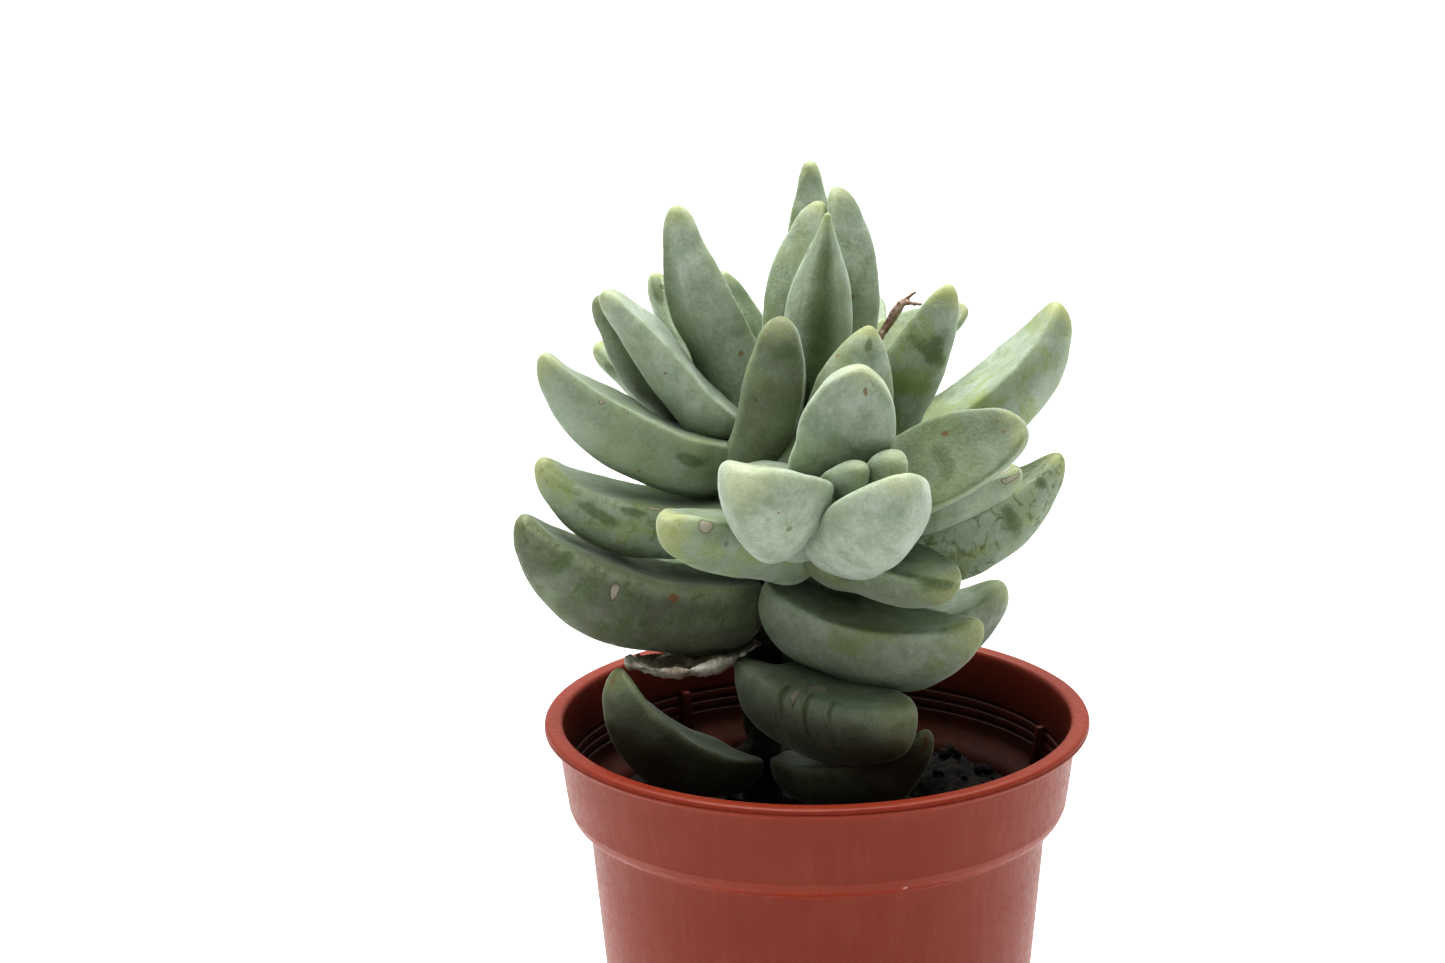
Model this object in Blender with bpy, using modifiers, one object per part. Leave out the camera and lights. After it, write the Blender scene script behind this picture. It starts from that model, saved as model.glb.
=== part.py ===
"""A small branching succulent, grown in a 5.5 cm plastic nursery pot.

The pot, the soil, the stem, the dried flower stalk and every leaf are separate closed solids.
Lengths below are in millimetres and angles in degrees; millimetres() turns them into Blender's metres.
The origin is the middle of the pot's underside, with +Z up and -Y towards the front of the plant.
"""

import math
from dataclasses import dataclass

import bmesh
import bpy
import numpy as np
from mathutils import Vector
from mathutils.bvhtree import BVHTree
from mathutils.interpolate import poly_3d_calc

# The pot.
POT_HEIGHT = 50.0
POT_RIM_RADIUS = 27.5  # outside of the lip
POT_WALL = 0.6
POT_TAPER = 0.095  # how much the wall's radius shrinks for each millimetre down
COLLAR_HEIGHT = 10.5  # from the top of the lip down to the step
COLLAR_TAPER = 0.13
COLLAR_STEP = 1.8  # how far the wall stands inside the collar's foot
LIP_THICKNESS = 1.0
LIP_OVERHANG = 1.2
FLOOR_THICKNESS = 0.9
FOOT_ROUNDING = 1.2
DRAIN_HOLES = 6
DRAIN_HOLE_RADIUS = 1.8
DRAIN_CIRCLE_RADIUS = 13.0
POT_SIDES = 48

# The soil.
SOIL_DROP = 10.5  # from the top of the lip down to the soil
SOIL_ROUGHNESS = 0.45

# The plant.
STEM_RADIUS = 2.0
SHOOT_RADIUS = 1.4
STEM_DEPTH_IN_SOIL = 8.0
STEM_POINT_SPACING = 3.0
LEAF_GIRTH = 1.0  # swells or thins every leaf
LEAF_SIDES = 12
LEAF_RINGS = 10
STALK_RADIUS = 0.5

# Neighbours keep this far apart.
CLEARANCE = 0.3
SETTLING_GAP = 0.4
CROWDING = 0.8  # how round crowded leaves count as: 1 keeps them whole, less lets them press on each other
SPREADING_ROUNDS = 60
PRESSING_ROUNDS = 40

SOIL_LEVEL = POT_HEIGHT - SOIL_DROP

# Colour, roughness and metallic value of each finish.
FINISHES = {
    "pot": ((0.36, 0.085, 0.06), 0.45, 0.0),
    "soil": ((0.022, 0.018, 0.016), 0.95, 0.0),
    "stem": ((0.10, 0.085, 0.07), 0.9, 0.0),
    "leaf": ((0.33, 0.40, 0.30), 0.6, 0.0),
    "withered_leaf": ((0.50, 0.43, 0.35), 0.85, 0.0),
    "flower_stalk": ((0.24, 0.17, 0.13), 0.85, 0.0),
}

# Centre lines of the stem, its shoots and the flower stalk: x, y and height above the soil.
TRUNK = ((-5.0, 3.0, -8.0), (-5.5, 3.0, 8.0), (-4.5, 3.0, 19.0), (-3.0, 3.5, 30.0))
TOP_SHOOT = ((-3.0, 3.5, 30.0), (-1.5, 6.0, 36.5), (0.5, 8.5, 42.0), (0.5, 9.5, 45.0))
FRONT_SHOOT = ((-3.5, 3.5, 27.0), (0.0, -1.5, 30.5), (1.5, -6.0, 34.0), (1.5, -9.0, 36.5))
LEFT_SHOOT = ((-3.0, 3.5, 29.0), (-5.5, 4.0, 33.5), (-7.5, 6.5, 38.5), (-9.0, 10.0, 42.0))
RIGHT_SHOOT = ((-3.0, 3.5, 30.0), (1.5, 5.0, 33.0), (5.0, 7.5, 37.0))
SHOOTS = (TOP_SHOOT, FRONT_SHOOT, LEFT_SHOOT, RIGHT_SHOOT)
FLOWER_STALK = ((2.5, 6.5, 41.0), (7.0, 6.5, 48.5), (9.0, 7.0, 51.5))
STALK_FORKS = ((10.5, 7.5, 52.5), (11.0, 6.0, 51.5))


@dataclass
class Leaf:
    """A thick leaf from its foot on a shoot to its tip, like a boat with its keel outwards."""

    name: str
    foot: tuple  # x, y and height above the soil; the leaf is seated on the nearest shoot
    tip: tuple
    width: float
    depth: float
    curl: float = 12.0  # how far it bends towards its upper side
    widest: float = 0.42  # share of its length where it is widest
    blunt: float = 0.75  # 0.5 gives a round end, 1 a pointed one
    narrow: float = 0.6  # girth at the foot, against the widest
    lift: float = 0.2  # how far its section stands above its midrib line
    back: float = None  # compass direction that the keel faces, if it isn't simply downwards
    hollow: float = 0.08  # depth of the channel in its upper side
    keel: float = 0.25  # 0 gives a round back, 1 a V
    finish: str = "leaf"


LEAVES = (
    # The old leaves, from the soil upwards.
    Leaf("soil_leaf_left", (-5.0, -2.0, 5.0), (-20.0, -4.0, 17.0), 8.5, 7.5, 75, 0.5, lift=0.15),
    Leaf("soil_leaf_right", (-3.5, -1.0, 5.5), (11.0, -9.0, 11.5), 8.5, 7.5, 45, 0.5, lift=0.1),
    Leaf("low_leaf_front", (-8.5, 0.0, 15.5), (8.5, -12.0, 14.0), 8.0, 8.5, 25, 0.55, 0.5, lift=0.08),
    Leaf("low_leaf_left", (-6.0, 1.0, 23.0), (-29.5, -1.0, 32.0), 9.5, 10.3, 46, 0.5, lift=0.08),
    Leaf("low_leaf_right", (-5.5, 0.0, 24.5), (16.0, -9.0, 22.5), 9.5, 9.5, 47, 0.5, lift=0.08),
    Leaf("low_leaf_back", (0.0, 6.0, 17.0), (19.5, 8.0, 21.5), 9.0, 8.5, 50, 0.45, 0.6, lift=0.1),
    Leaf("middle_leaf_left", (-7.0, 2.5, 32.0), (-27.5, 0.0, 37.5), 8.5, 7.8, 46, 0.5, lift=0.04),
    Leaf("middle_leaf_right", (3.5, 3.0, 25.0), (25.0, 5.0, 36.0), 9.0, 9.2, 38, 0.5, lift=0.05),
    # The head that faces forwards.
    Leaf("front_leaf_left_low", (1.0, -3.0, 27.0), (-15.0, -14.0, 35.0), 7.8, 7.0, 5, 0.5, 0.5),
    Leaf("front_leaf_right_low", (-0.5, -3.0, 28.5), (13.5, -13.0, 28.0), 9.0, 6.2, 5, 0.55, 0.6),
    Leaf("front_leaf_left", (-1.0, -4.0, 38.0), (-7.0, -20.0, 41.5), 11.5, 9.8, 40, 0.5, 0.5, 0.7),
    Leaf("front_leaf_right", (1.5, -7.0, 34.5), (8.0, -20.0, 41.5), 11.5, 7.4, 55, 0.5, 0.7, 0.7, 0.12, hollow=0.12),
    Leaf("front_leaf_far_right", (6.5, -4.0, 35.5), (20.5, -9.0, 43.0), 8.6, 7.5, 15, 0.5, 0.5, 0.8, 0.25, 25),
    Leaf("front_leaf_thin", (8.0, -1.0, 28.0), (20.5, -2.0, 36.5), 6.5, 5.0, 10, 0.5, 0.55),
    Leaf("front_leaf_top", (1.5, -8.0, 37.0), (4.5, -12.0, 50.0), 9.2, 6.5, 12, 0.5, 0.6, back=90),
    Leaf("front_bud_left", (-1.5, -12.0, 37.0), (4.5, -16.0, 41.0), 3.8, 3.5, 5, 0.45, lift=0.28, hollow=0, keel=0),
    Leaf("front_bud_right", (4.5, -11.0, 36.5), (8.0, -15.0, 41.5), 4.0, 3.6, 10, 0.55, 0.5, 0.6, 0.28, None, 0, 0),
    # The head that stands upright.
    Leaf("top_leaf_outer_right", (0.0, -1.5, 37.0), (5.5, -3.0, 52.0), 10.5, 6.5, 18, 0.3, 0.8, 0.8, back=290),
    Leaf("top_leaf_outer_left", (-7.5, 1.0, 34.0), (-3.5, -3.0, 53.0), 7.4, 6.5, 38, 0.5, 0.55, 0.9, back=310),
    Leaf("top_leaf_left", (-2.0, 9.0, 41.0), (1.0, 9.0, 61.5), 7.5, 6.5, 24, 0.45, 0.7, back=180),
    Leaf("top_leaf_front", (0.0, 5.0, 42.0), (1.5, 2.0, 62.0), 7.4, 6.5, 12, 0.3, 1.1, back=270),
    Leaf("top_leaf_back", (0.0, 13.0, 45.0), (0.0, 15.0, 64.5), 5.8, 5.6, 15, 0.4, 0.95, back=90),
    Leaf("top_leaf_right", (2.5, 9.0, 42.0), (2.5, 9.0, 63.0), 8.0, 6.5, 22, 0.45, 0.65, back=0),
    # The head on the left.
    Leaf("left_leaf_lowest", (-8.0, 3.5, 37.5), (-27.0, 0.0, 48.5), 9.0, 8.0, 44, 0.45, lift=0.16),
    Leaf("left_leaf_upper", (-8.0, 4.5, 40.0), (-21.0, 5.0, 53.5), 7.0, 5.6, 4, 0.45, 0.75, 0.8, 0.32, 180),
    Leaf("left_leaf_lower", (-11.5, 8.0, 35.0), (-21.5, 7.0, 52.5), 6.0, 5.4, 8, 0.45, 0.75, 0.8, 0.15, 180),
    Leaf("left_leaf_small", (-12.0, 12.0, 35.5), (-22.0, 14.0, 45.5), 6.2, 5.6, 12, back=150),
    Leaf("left_leaf_behind", (-11.5, 12.5, 41.5), (-16.0, 16.0, 52.5), 4.8, 4.6, 6, back=140),
    Leaf("left_leaf_top", (-6.5, 6.0, 41.0), (-13.5, 6.0, 62.0), 8.5, 7.2, 18, 0.38, 0.65, 0.8, 0.27, 200),
    Leaf("left_leaf_inner", (-6.0, 11.0, 40.0), (-9.0, 13.0, 53.5), 7.2, 6.0, 12, back=130),
    # The head on the right.
    Leaf("right_leaf_front", (5.5, 4.0, 38.0), (13.5, 0.0, 55.0), 7.6, 6.6, 14, 0.4, 0.7, back=320),
    Leaf("right_leaf_back", (4.5, 12.0, 41.5), (16.0, 16.0, 48.5), 6.0, 5.2, 15, blunt=0.7, back=40),
    Leaf("right_leaf_long", (7.5, 7.0, 34.5), (25.0, 10.0, 50.5), 9.3, 8.4, 48, 0.5, 0.65, lift=0.08),
    # The leaves at the back.
    Leaf("back_leaf_low_left", (-6.0, 6.0, 18.0), (-18.0, 18.0, 22.0), 8.5, 7.5, 40),
    Leaf("back_leaf_low_right", (-3.0, 6.0, 21.0), (10.0, 22.0, 24.0), 8.5, 7.5, 40),
    Leaf("back_leaf_left", (-5.0, 6.0, 27.0), (-14.0, 24.0, 31.0), 8.0, 7.5, 35),
    Leaf("back_leaf_right", (-1.0, 6.0, 29.0), (8.0, 26.0, 33.0), 8.0, 7.5, 35),
    Leaf("back_leaf_middle", (-2.0, 8.0, 34.0), (-3.0, 28.0, 40.0), 8.0, 7.0, 35),
    Leaf("back_leaf_top_left", (-2.0, 11.0, 39.0), (-8.0, 23.0, 47.0), 7.0, 6.0, 25),
    Leaf("back_leaf_top_right", (2.0, 11.0, 40.0), (7.0, 23.0, 48.0), 7.0, 6.0, 25),
    Leaf("back_leaf_far_right", (4.0, 9.0, 33.0), (18.0, 20.0, 38.0), 7.5, 6.5, 30),
    Leaf("back_leaf_far_left", (-7.0, 9.0, 34.0), (-19.0, 21.0, 38.0), 7.5, 6.5, 30),
    Leaf(
        "withered_leaf", (-6.0, 1.0, 18.0), (-18.5, -2.0, 17.0), 6.5, 1.6, 30, 0.6, 0.5, 0.3,
        0.1, None, 0.3, 0, "withered_leaf",
    ),
)


def millimetres(*values):
    """A place given in millimetres, in Blender's metres."""
    return Vector(values) / 1000


def clear_scene():
    for thing in list(bpy.data.objects):
        bpy.data.objects.remove(thing, do_unlink=True)


def new_collection(name):
    collection = bpy.data.collections.new(name)
    bpy.context.scene.collection.children.link(collection)
    return collection


def finish_material(name):
    if name in bpy.data.materials:
        return bpy.data.materials[name]
    colour, roughness, metallic = FINISHES[name]
    material = bpy.data.materials.new(name)
    material.use_nodes = True
    shader = material.node_tree.nodes["Principled BSDF"]
    shader.inputs["Base Color"].default_value = (*colour, 1.0)
    shader.inputs["Roughness"].default_value = roughness
    shader.inputs["Metallic"].default_value = metallic
    material.diffuse_color = (*colour, 1.0)
    return material


def add_piece(name, mesh, finish, collection):
    piece = bpy.data.objects.new(name, mesh)
    mesh.materials.clear()
    mesh.materials.append(finish_material(finish))
    collection.objects.link(piece)
    return piece


def add_cutter(name, mesh, collection):
    cutter = bpy.data.objects.new(name, mesh)
    cutter.hide_render = True
    cutter.display_type = "WIRE"
    collection.objects.link(cutter)
    return cutter


def add_boolean(piece, other, operation):
    modifier = piece.modifiers.new(f"{operation.lower()} {other.name}", "BOOLEAN")
    modifier.operation = operation
    modifier.object = other
    modifier.solver = "EXACT"


def turn(piece):
    """Turns an XZ profile round the pot's axis."""
    screw = piece.modifiers.new("turn", "SCREW")
    screw.axis = "Z"
    screw.steps = POT_SIDES
    screw.render_steps = POT_SIDES
    screw.use_merge_vertices = True
    screw.merge_threshold = 0.00001


def profile_mesh(name, points):
    """An open XZ outline, from (radius, height) pairs."""
    mesh = bpy.data.meshes.new(name)
    corners = [millimetres(radius, 0, height) for radius, height in points]
    mesh.from_pydata(corners, [(i, i + 1) for i in range(len(corners) - 1)], [])
    return mesh


def evaluated_mesh(thing):
    """The mesh of an object with its modifiers or its curve's thickness worked out, in world space."""
    bpy.context.view_layer.update()
    graph = bpy.context.evaluated_depsgraph_get()
    mesh = bpy.data.meshes.new_from_object(thing.evaluated_get(graph))
    mesh.transform(thing.matrix_world)
    return mesh


# --- the pot -----------------------------------------------------------------------------------------


def collar_foot_radius():
    return POT_RIM_RADIUS - LIP_OVERHANG - COLLAR_TAPER * COLLAR_HEIGHT


def wall_radius(height):
    """Outside radius of the pot's wall below the collar."""
    top = POT_HEIGHT - COLLAR_HEIGHT
    return collar_foot_radius() - COLLAR_STEP - POT_TAPER * (top - height)


def pot_profile():
    """Up the inside from the middle of the floor, over the lip, and down the outside to the middle."""
    collar_top = POT_RIM_RADIUS - LIP_OVERHANG
    collar_foot = collar_foot_radius()
    step_height = POT_HEIGHT - COLLAR_HEIGHT
    lip = LIP_THICKNESS
    inside = [
        (0, FLOOR_THICKNESS),
        (DRAIN_CIRCLE_RADIUS, FLOOR_THICKNESS),
        (wall_radius(FLOOR_THICKNESS) - POT_WALL - FOOT_ROUNDING / 2, FLOOR_THICKNESS),
        (wall_radius(FLOOR_THICKNESS) - POT_WALL, FLOOR_THICKNESS + FOOT_ROUNDING / 2),
        (wall_radius(step_height) - POT_WALL, step_height - POT_WALL),
        (collar_foot - POT_WALL - 0.3, step_height + 1.3),
        (collar_foot - POT_WALL, step_height + 2.0),
        (collar_top - POT_WALL, POT_HEIGHT - 0.5 * lip),
        (collar_top - POT_WALL + 0.25, POT_HEIGHT),
    ]
    outside = [
        (POT_RIM_RADIUS - 0.35 * lip, POT_HEIGHT),
        (POT_RIM_RADIUS, POT_HEIGHT - 0.3 * lip),
        (POT_RIM_RADIUS, POT_HEIGHT - 0.7 * lip),
        (POT_RIM_RADIUS - 0.35 * lip, POT_HEIGHT - lip),
        (collar_top, POT_HEIGHT - lip - 0.3),
        (collar_foot, step_height + 1.2),
        (collar_foot - 0.4, step_height + 0.4),
        (collar_foot - 1.2, step_height),
        (wall_radius(step_height), step_height),
        (wall_radius(FOOT_ROUNDING), FOOT_ROUNDING),
        (wall_radius(0) - 0.35 * FOOT_ROUNDING, 0.35 * FOOT_ROUNDING),
        (wall_radius(0) - FOOT_ROUNDING, 0),
        (DRAIN_CIRCLE_RADIUS, 0),
        (0, 0),
    ]
    return inside + outside


def make_pot(parts, cutters):
    pot = add_piece("pot", profile_mesh("pot", pot_profile()), "pot", parts)
    turn(pot)
    holes = bmesh.new()
    for index in range(DRAIN_HOLES):
        angle = math.tau * (index + 0.5) / DRAIN_HOLES
        hole = bmesh.ops.create_cone(
            holes, cap_ends=True, segments=12, radius1=DRAIN_HOLE_RADIUS / 1000,
            radius2=DRAIN_HOLE_RADIUS / 1000, depth=4 * FLOOR_THICKNESS / 1000,
        )
        middle = millimetres(
            DRAIN_CIRCLE_RADIUS * math.cos(angle), DRAIN_CIRCLE_RADIUS * math.sin(angle), FLOOR_THICKNESS / 2
        )
        bmesh.ops.translate(holes, verts=hole["verts"], vec=middle)
    mesh = bpy.data.meshes.new("drain_holes")
    holes.to_mesh(mesh)
    holes.free()
    add_boolean(pot, add_cutter("drain_holes", mesh, cutters), "DIFFERENCE")
    return pot


# --- the soil ----------------------------------------------------------------------------------------


def soil_height(x, y):
    """How far the soil rises over its level at a place: a heap behind on the right, and crumbs all over."""
    heap = 2.2 * math.exp(-((x - 15) ** 2 + (y - 8) ** 2) / 50)
    crumbs = math.sin(0.9 * x + 0.4 * y) * math.cos(0.7 * y - 0.3 * x) + math.sin(1.7 * x - 1.1 * y)
    return heap + SOIL_ROUGHNESS * (crumbs - 1)


def make_soil(parts, cutters):
    top_radius = wall_radius(SOIL_LEVEL) - POT_WALL - CLEARANCE
    top_radius = min(top_radius, wall_radius(POT_HEIGHT - COLLAR_HEIGHT) - POT_WALL - CLEARANCE)
    bottom = FLOOR_THICKNESS + CLEARANCE
    bottom_radius = wall_radius(bottom) - POT_WALL - CLEARANCE
    rings = 7
    outline = [(top_radius * ring / rings, SOIL_LEVEL) for ring in range(rings + 1)]
    outline += [
        (bottom_radius + FOOT_ROUNDING * POT_TAPER, bottom + FOOT_ROUNDING),
        (bottom_radius - FOOT_ROUNDING, bottom),
        (0, bottom),
    ]
    turned = add_piece("soil_outline", profile_mesh("soil_outline", outline), "soil", parts)
    turn(turned)
    mesh = evaluated_mesh(turned)
    bpy.data.objects.remove(turned)
    mesh.name = "soil"
    for vertex in mesh.vertices:
        x, y, z = vertex.co * 1000
        edge = max(0.0, 1 - (math.hypot(x, y) / top_radius) ** 6)
        if z > SOIL_LEVEL - 1e-3:
            vertex.co.z += soil_height(x, y) * edge / 1000
    soil = add_piece("soil", mesh, "soil", parts)

    socket = bmesh.new()
    depth = STEM_DEPTH_IN_SOIL + CLEARANCE
    bmesh.ops.create_cone(
        socket, cap_ends=True, segments=16, radius1=(STEM_RADIUS + CLEARANCE) / 1000,
        radius2=(STEM_RADIUS + 3 * CLEARANCE) / 1000, depth=2 * depth / 1000,
    )
    x, y, _ = TRUNK[0]
    bmesh.ops.translate(socket, verts=socket.verts, vec=millimetres(x, y, SOIL_LEVEL))
    mesh = bpy.data.meshes.new("stem_socket")
    socket.to_mesh(mesh)
    socket.free()
    add_boolean(soil, add_cutter("stem_socket", mesh, cutters), "DIFFERENCE")
    return soil


# --- the stem and the flower stalk -------------------------------------------------------------------


def above_soil(point):
    return Vector((point[0], point[1], point[2] + SOIL_LEVEL))


def smooth_line(points, spacing):
    """Points every so many millimetres on a smooth curve through the given ones."""
    places = [above_soil(point) for point in points]
    places = [2 * places[0] - places[1], *places, 2 * places[-1] - places[-2]]
    line = []
    for before, start, end, after in zip(places, places[1:], places[2:], places[3:]):
        steps = max(1, round((end - start).length / spacing))
        for step in range(steps):
            t = step / steps
            line.append(
                0.5 * (2 * start + (end - before) * t + (2 * before - 5 * start + 4 * end - after) * t ** 2
                       + (3 * start - before - 3 * end + after) * t ** 3)
            )
    line.append(places[-2])
    return line


def tube(name, line, radii, sides_resolution=2):
    """A round rod along a line, as a closed mesh object. radii are those of its two ends."""
    curve = bpy.data.curves.new(name, "CURVE")
    curve.dimensions = "3D"
    curve.bevel_depth = 0.001
    curve.bevel_resolution = sides_resolution
    curve.use_fill_caps = True
    spline = curve.splines.new("POLY")
    spline.points.add(len(line) - 1)
    for index, (point, place) in enumerate(zip(spline.points, line)):
        share = index / (len(line) - 1)
        point.co = (*millimetres(*place), 1)
        point.radius = radii[0] + (radii[1] - radii[0]) * share
    rod = bpy.data.objects.new(name, curve)
    bpy.context.scene.collection.objects.link(rod)
    mesh = evaluated_mesh(rod)
    bpy.data.objects.remove(rod)
    shape = bmesh.new()
    shape.from_mesh(mesh)
    bmesh.ops.remove_doubles(shape, verts=shape.verts, dist=0.00001)
    bmesh.ops.recalc_face_normals(shape, faces=shape.faces)
    shape.to_mesh(mesh)
    shape.free()
    return mesh


def joined(name, meshes, finish, parts, cutters):
    """One closed solid from overlapping rods."""
    piece = add_piece(name, meshes[0], finish, parts)
    for index, mesh in enumerate(meshes[1:]):
        add_boolean(piece, add_cutter(f"{name}_branch_{index + 1}", mesh, cutters), "UNION")
    return piece


def make_stem(parts, cutters):
    trunk = tube("stem", smooth_line(TRUNK, STEM_POINT_SPACING), (STEM_RADIUS, SHOOT_RADIUS + 0.3))
    shoots = [
        tube(f"shoot_{index}", smooth_line(line, STEM_POINT_SPACING), (SHOOT_RADIUS, 0.6 * SHOOT_RADIUS))
        for index, line in enumerate(SHOOTS)
    ]
    return joined("stem", [trunk, *shoots], "stem", parts, cutters)


def shoot_posts():
    """Centres and radii of balls along the trunk and the shoots."""
    centres, radii = [], []
    for line in (TRUNK, *SHOOTS):
        places = smooth_line(line, 1.0)
        start, end = (STEM_RADIUS, SHOOT_RADIUS) if line is TRUNK else (SHOOT_RADIUS, 0.6 * SHOOT_RADIUS)
        centres += [tuple(place) for place in places]
        radii += list(np.linspace(start, end, len(places)))
    return np.array(centres), np.array(radii)


def make_flower_stalk(parts, cutters):
    stalk = tube("flower_stalk", smooth_line(FLOWER_STALK, STEM_POINT_SPACING), (STALK_RADIUS, 1.3 * STALK_RADIUS), 1)
    forks = [
        tube(f"fork_{index}", [above_soil(FLOWER_STALK[-1]), above_soil(end)], (STALK_RADIUS, 0.5 * STALK_RADIUS), 1)
        for index, end in enumerate(STALK_FORKS)
    ]
    return joined("flower_stalk", [stalk, *forks], "flower_stalk", parts, cutters)


# --- the leaves --------------------------------------------------------------------------------------


def girth(leaf, t):
    """The leaf's girth at a share of its length, against its widest."""
    if t <= leaf.widest:
        q = (leaf.widest - t) / leaf.widest
        return (1 - (1 - leaf.narrow) * q ** 1.6) * math.sqrt(max(0.0, 1 - q ** 10))
    q = (t - leaf.widest) / (1 - leaf.widest)
    return max(0.0, 1 - q ** 2) ** leaf.blunt


def section(leaf, across, up):
    """Height of the leaf's section over its midrib line, for a place on the unit circle."""
    if up >= 0:
        height = 0.22 * up - 2.2 * leaf.hollow * up ** 2
    else:
        height = -0.78 * ((1 - leaf.keel) * abs(up) + leaf.keel * (1 - abs(across)))
    return height + leaf.lift


class Sprout:
    """A leaf while the plant takes shape: its midrib, and each surface point's place round it."""

    def __init__(self, leaf, posts, post_radii):
        self.leaf = leaf
        tip = np.array(above_soil(leaf.tip))
        foot = np.array(above_soil(leaf.foot))
        post = np.linalg.norm(posts - foot, axis=1).argmin()
        seat = posts[post] + unit(foot - posts[post]) * (post_radii[post] + CLEARANCE)
        along = unit(tip - seat)
        length = np.linalg.norm(tip - seat)
        if leaf.back is None:
            inwards = np.array((0.0, 0.0, 1.0))
        else:
            inwards = -np.array((math.cos(math.radians(leaf.back)), math.sin(math.radians(leaf.back)), 0.0))
        up = unit(inwards - along * inwards.dot(along))
        side = np.cross(up, along)
        bend = math.radians(leaf.curl)
        bend_radius = length / (2 * math.sin(bend / 2))
        middle_height = (section(leaf, 0, 1) + section(leaf, 0, -1)) / 2
        rings = LEAF_RINGS + 1
        self.shares = np.array([(1 - math.cos(math.pi * ring / LEAF_RINGS)) / 2 for ring in range(rings)])
        self.midrib = np.zeros((rings, 3))
        self.offsets = np.zeros((rings, LEAF_SIDES, 3))
        self.radii = np.zeros(rings)
        for ring, t in enumerate(self.shares):
            angle = bend * (t - 0.5)
            forward = bend_radius * (math.sin(angle) + math.sin(bend / 2))
            sag = bend_radius * (math.cos(bend / 2) - math.cos(angle))
            normal = math.cos(angle) * up - math.sin(angle) * along
            size = girth(leaf, t) * LEAF_GIRTH
            self.midrib[ring] = seat + forward * along + sag * up + normal * middle_height * leaf.depth * size
            self.radii[ring] = size * (leaf.width + leaf.depth) / 4
            for corner in range(LEAF_SIDES):
                turn_angle = math.tau * corner / LEAF_SIDES
                across, above = math.cos(turn_angle), math.sin(turn_angle)
                height = section(leaf, across, above) - middle_height
                self.offsets[ring, corner] = side * across * leaf.width / 2 * size + normal * height * leaf.depth * size
        self.scales = np.ones((rings, LEAF_SIDES))

    def points(self):
        """The foot, the rings from the foot to the tip, and the tip."""
        rings = self.midrib[1:-1, None] + self.offsets[1:-1] * self.scales[1:-1, :, None]
        return np.concatenate([self.midrib[:1], rings.reshape(-1, 3), self.midrib[-1:]])


def unit(vector):
    return vector / np.linalg.norm(vector)


def spread(sprouts, posts, post_radii):
    """Crowded leaves bend away from each other and from the shoots, more easily back and forth than sideways."""
    owners = np.repeat(np.arange(len(sprouts)), LEAF_RINGS + 1)
    radii = np.concatenate([sprout.radii for sprout in sprouts]) * CROWDING
    shares = np.concatenate([sprout.shares for sprout in sprouts])
    firm = np.clip(shares / 0.3, 0, 1)
    ease = np.array((0.35, 1.0, 0.35))
    for _ in range(SPREADING_ROUNDS):
        centres = np.concatenate([sprout.midrib for sprout in sprouts])
        apart = centres[:, None] - centres[None]
        distance = np.linalg.norm(apart, axis=2) + 1e-6
        need = np.maximum(0, radii[:, None] + radii[None] + CLEARANCE - distance)
        need[owners[:, None] == owners[None]] = 0
        push = 0.5 * (apart / distance[..., None] * need[..., None] ** 2).sum(1) / (need.sum(1) + 1e-6)[:, None]
        apart = centres[:, None] - posts[None]
        distance = np.linalg.norm(apart, axis=2) + 1e-6
        need = np.maximum(0, radii[:, None] * firm[:, None] + post_radii[None] + CLEARANCE - distance)
        push += (apart / distance[..., None] * need[..., None] ** 2).sum(1) / (need.sum(1) + 1e-6)[:, None]
        push = push * ease * (0.15 + 0.85 * firm[:, None])
        for index, sprout in enumerate(sprouts):
            mine = push[owners == index]
            for _ in range(4):
                padded = np.concatenate([mine[:1], mine, mine[-1:]])
                mine = 0.5 * mine + 0.25 * (padded[:-2] + padded[2:])
            sprout.midrib += 0.5 * mine


class Surface:
    """A closed mesh that can say how far a place is outside it."""

    def __init__(self, points, faces):
        self.points = [Vector(point) for point in points]
        self.faces = faces
        self.tree = BVHTree.FromPolygons(self.points, faces)
        self.low = np.min(points, axis=0)
        self.high = np.max(points, axis=0)
        self.normals = [Vector() for _ in self.points]
        for face in faces:
            first, second, third = (self.points[index] for index in face[:3])
            normal = (second - first).cross(third - first)
            if len(face) == 4:
                normal += (third - first).cross(self.points[face[3]] - first)
            for index in face:
                self.normals[index] += normal.normalized()

    def outside(self, place, reach):
        """Distance from the surface, negative inside, or None if it is further than the reach."""
        found, _, index, distance = self.tree.find_nearest(place)
        face = self.faces[index]
        weights = poly_3d_calc([self.points[corner] for corner in face], found)
        normal = sum((self.normals[corner] * weight for corner, weight in zip(face, weights)), Vector())
        if (place - found).dot(normal) < 0:
            return -distance
        return distance if distance < reach else None


def near(first, second, margin):
    return bool(np.all(first.low - margin < second.high) and np.all(second.low - margin < first.high))


def leaf_faces():
    """Faces of a leaf's mesh: a fan at the foot, bands of quads, and a fan at the tip."""
    last = 1 + (LEAF_RINGS - 1) * LEAF_SIDES
    faces = []
    for corner in range(LEAF_SIDES):
        following = (corner + 1) % LEAF_SIDES
        faces.append((0, 1 + following, 1 + corner))
        for ring in range(LEAF_RINGS - 2):
            low = 1 + ring * LEAF_SIDES
            high = low + LEAF_SIDES
            faces.append((low + corner, low + following, high + following, high + corner))
        faces.append((last - LEAF_SIDES + corner, last - LEAF_SIDES + following, last))
    return faces


def carriers_of_samples(faces):
    """Where a leaf is tested: each point, each edge's middle and each face's middle, as groups of points."""
    edges = {tuple(sorted(pair)) for face in faces for pair in zip(face, face[1:] + face[:1])}
    corners = sorted({index for face in faces for index in face})
    return [(corner,) for corner in corners] + sorted(edges) + faces


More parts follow.
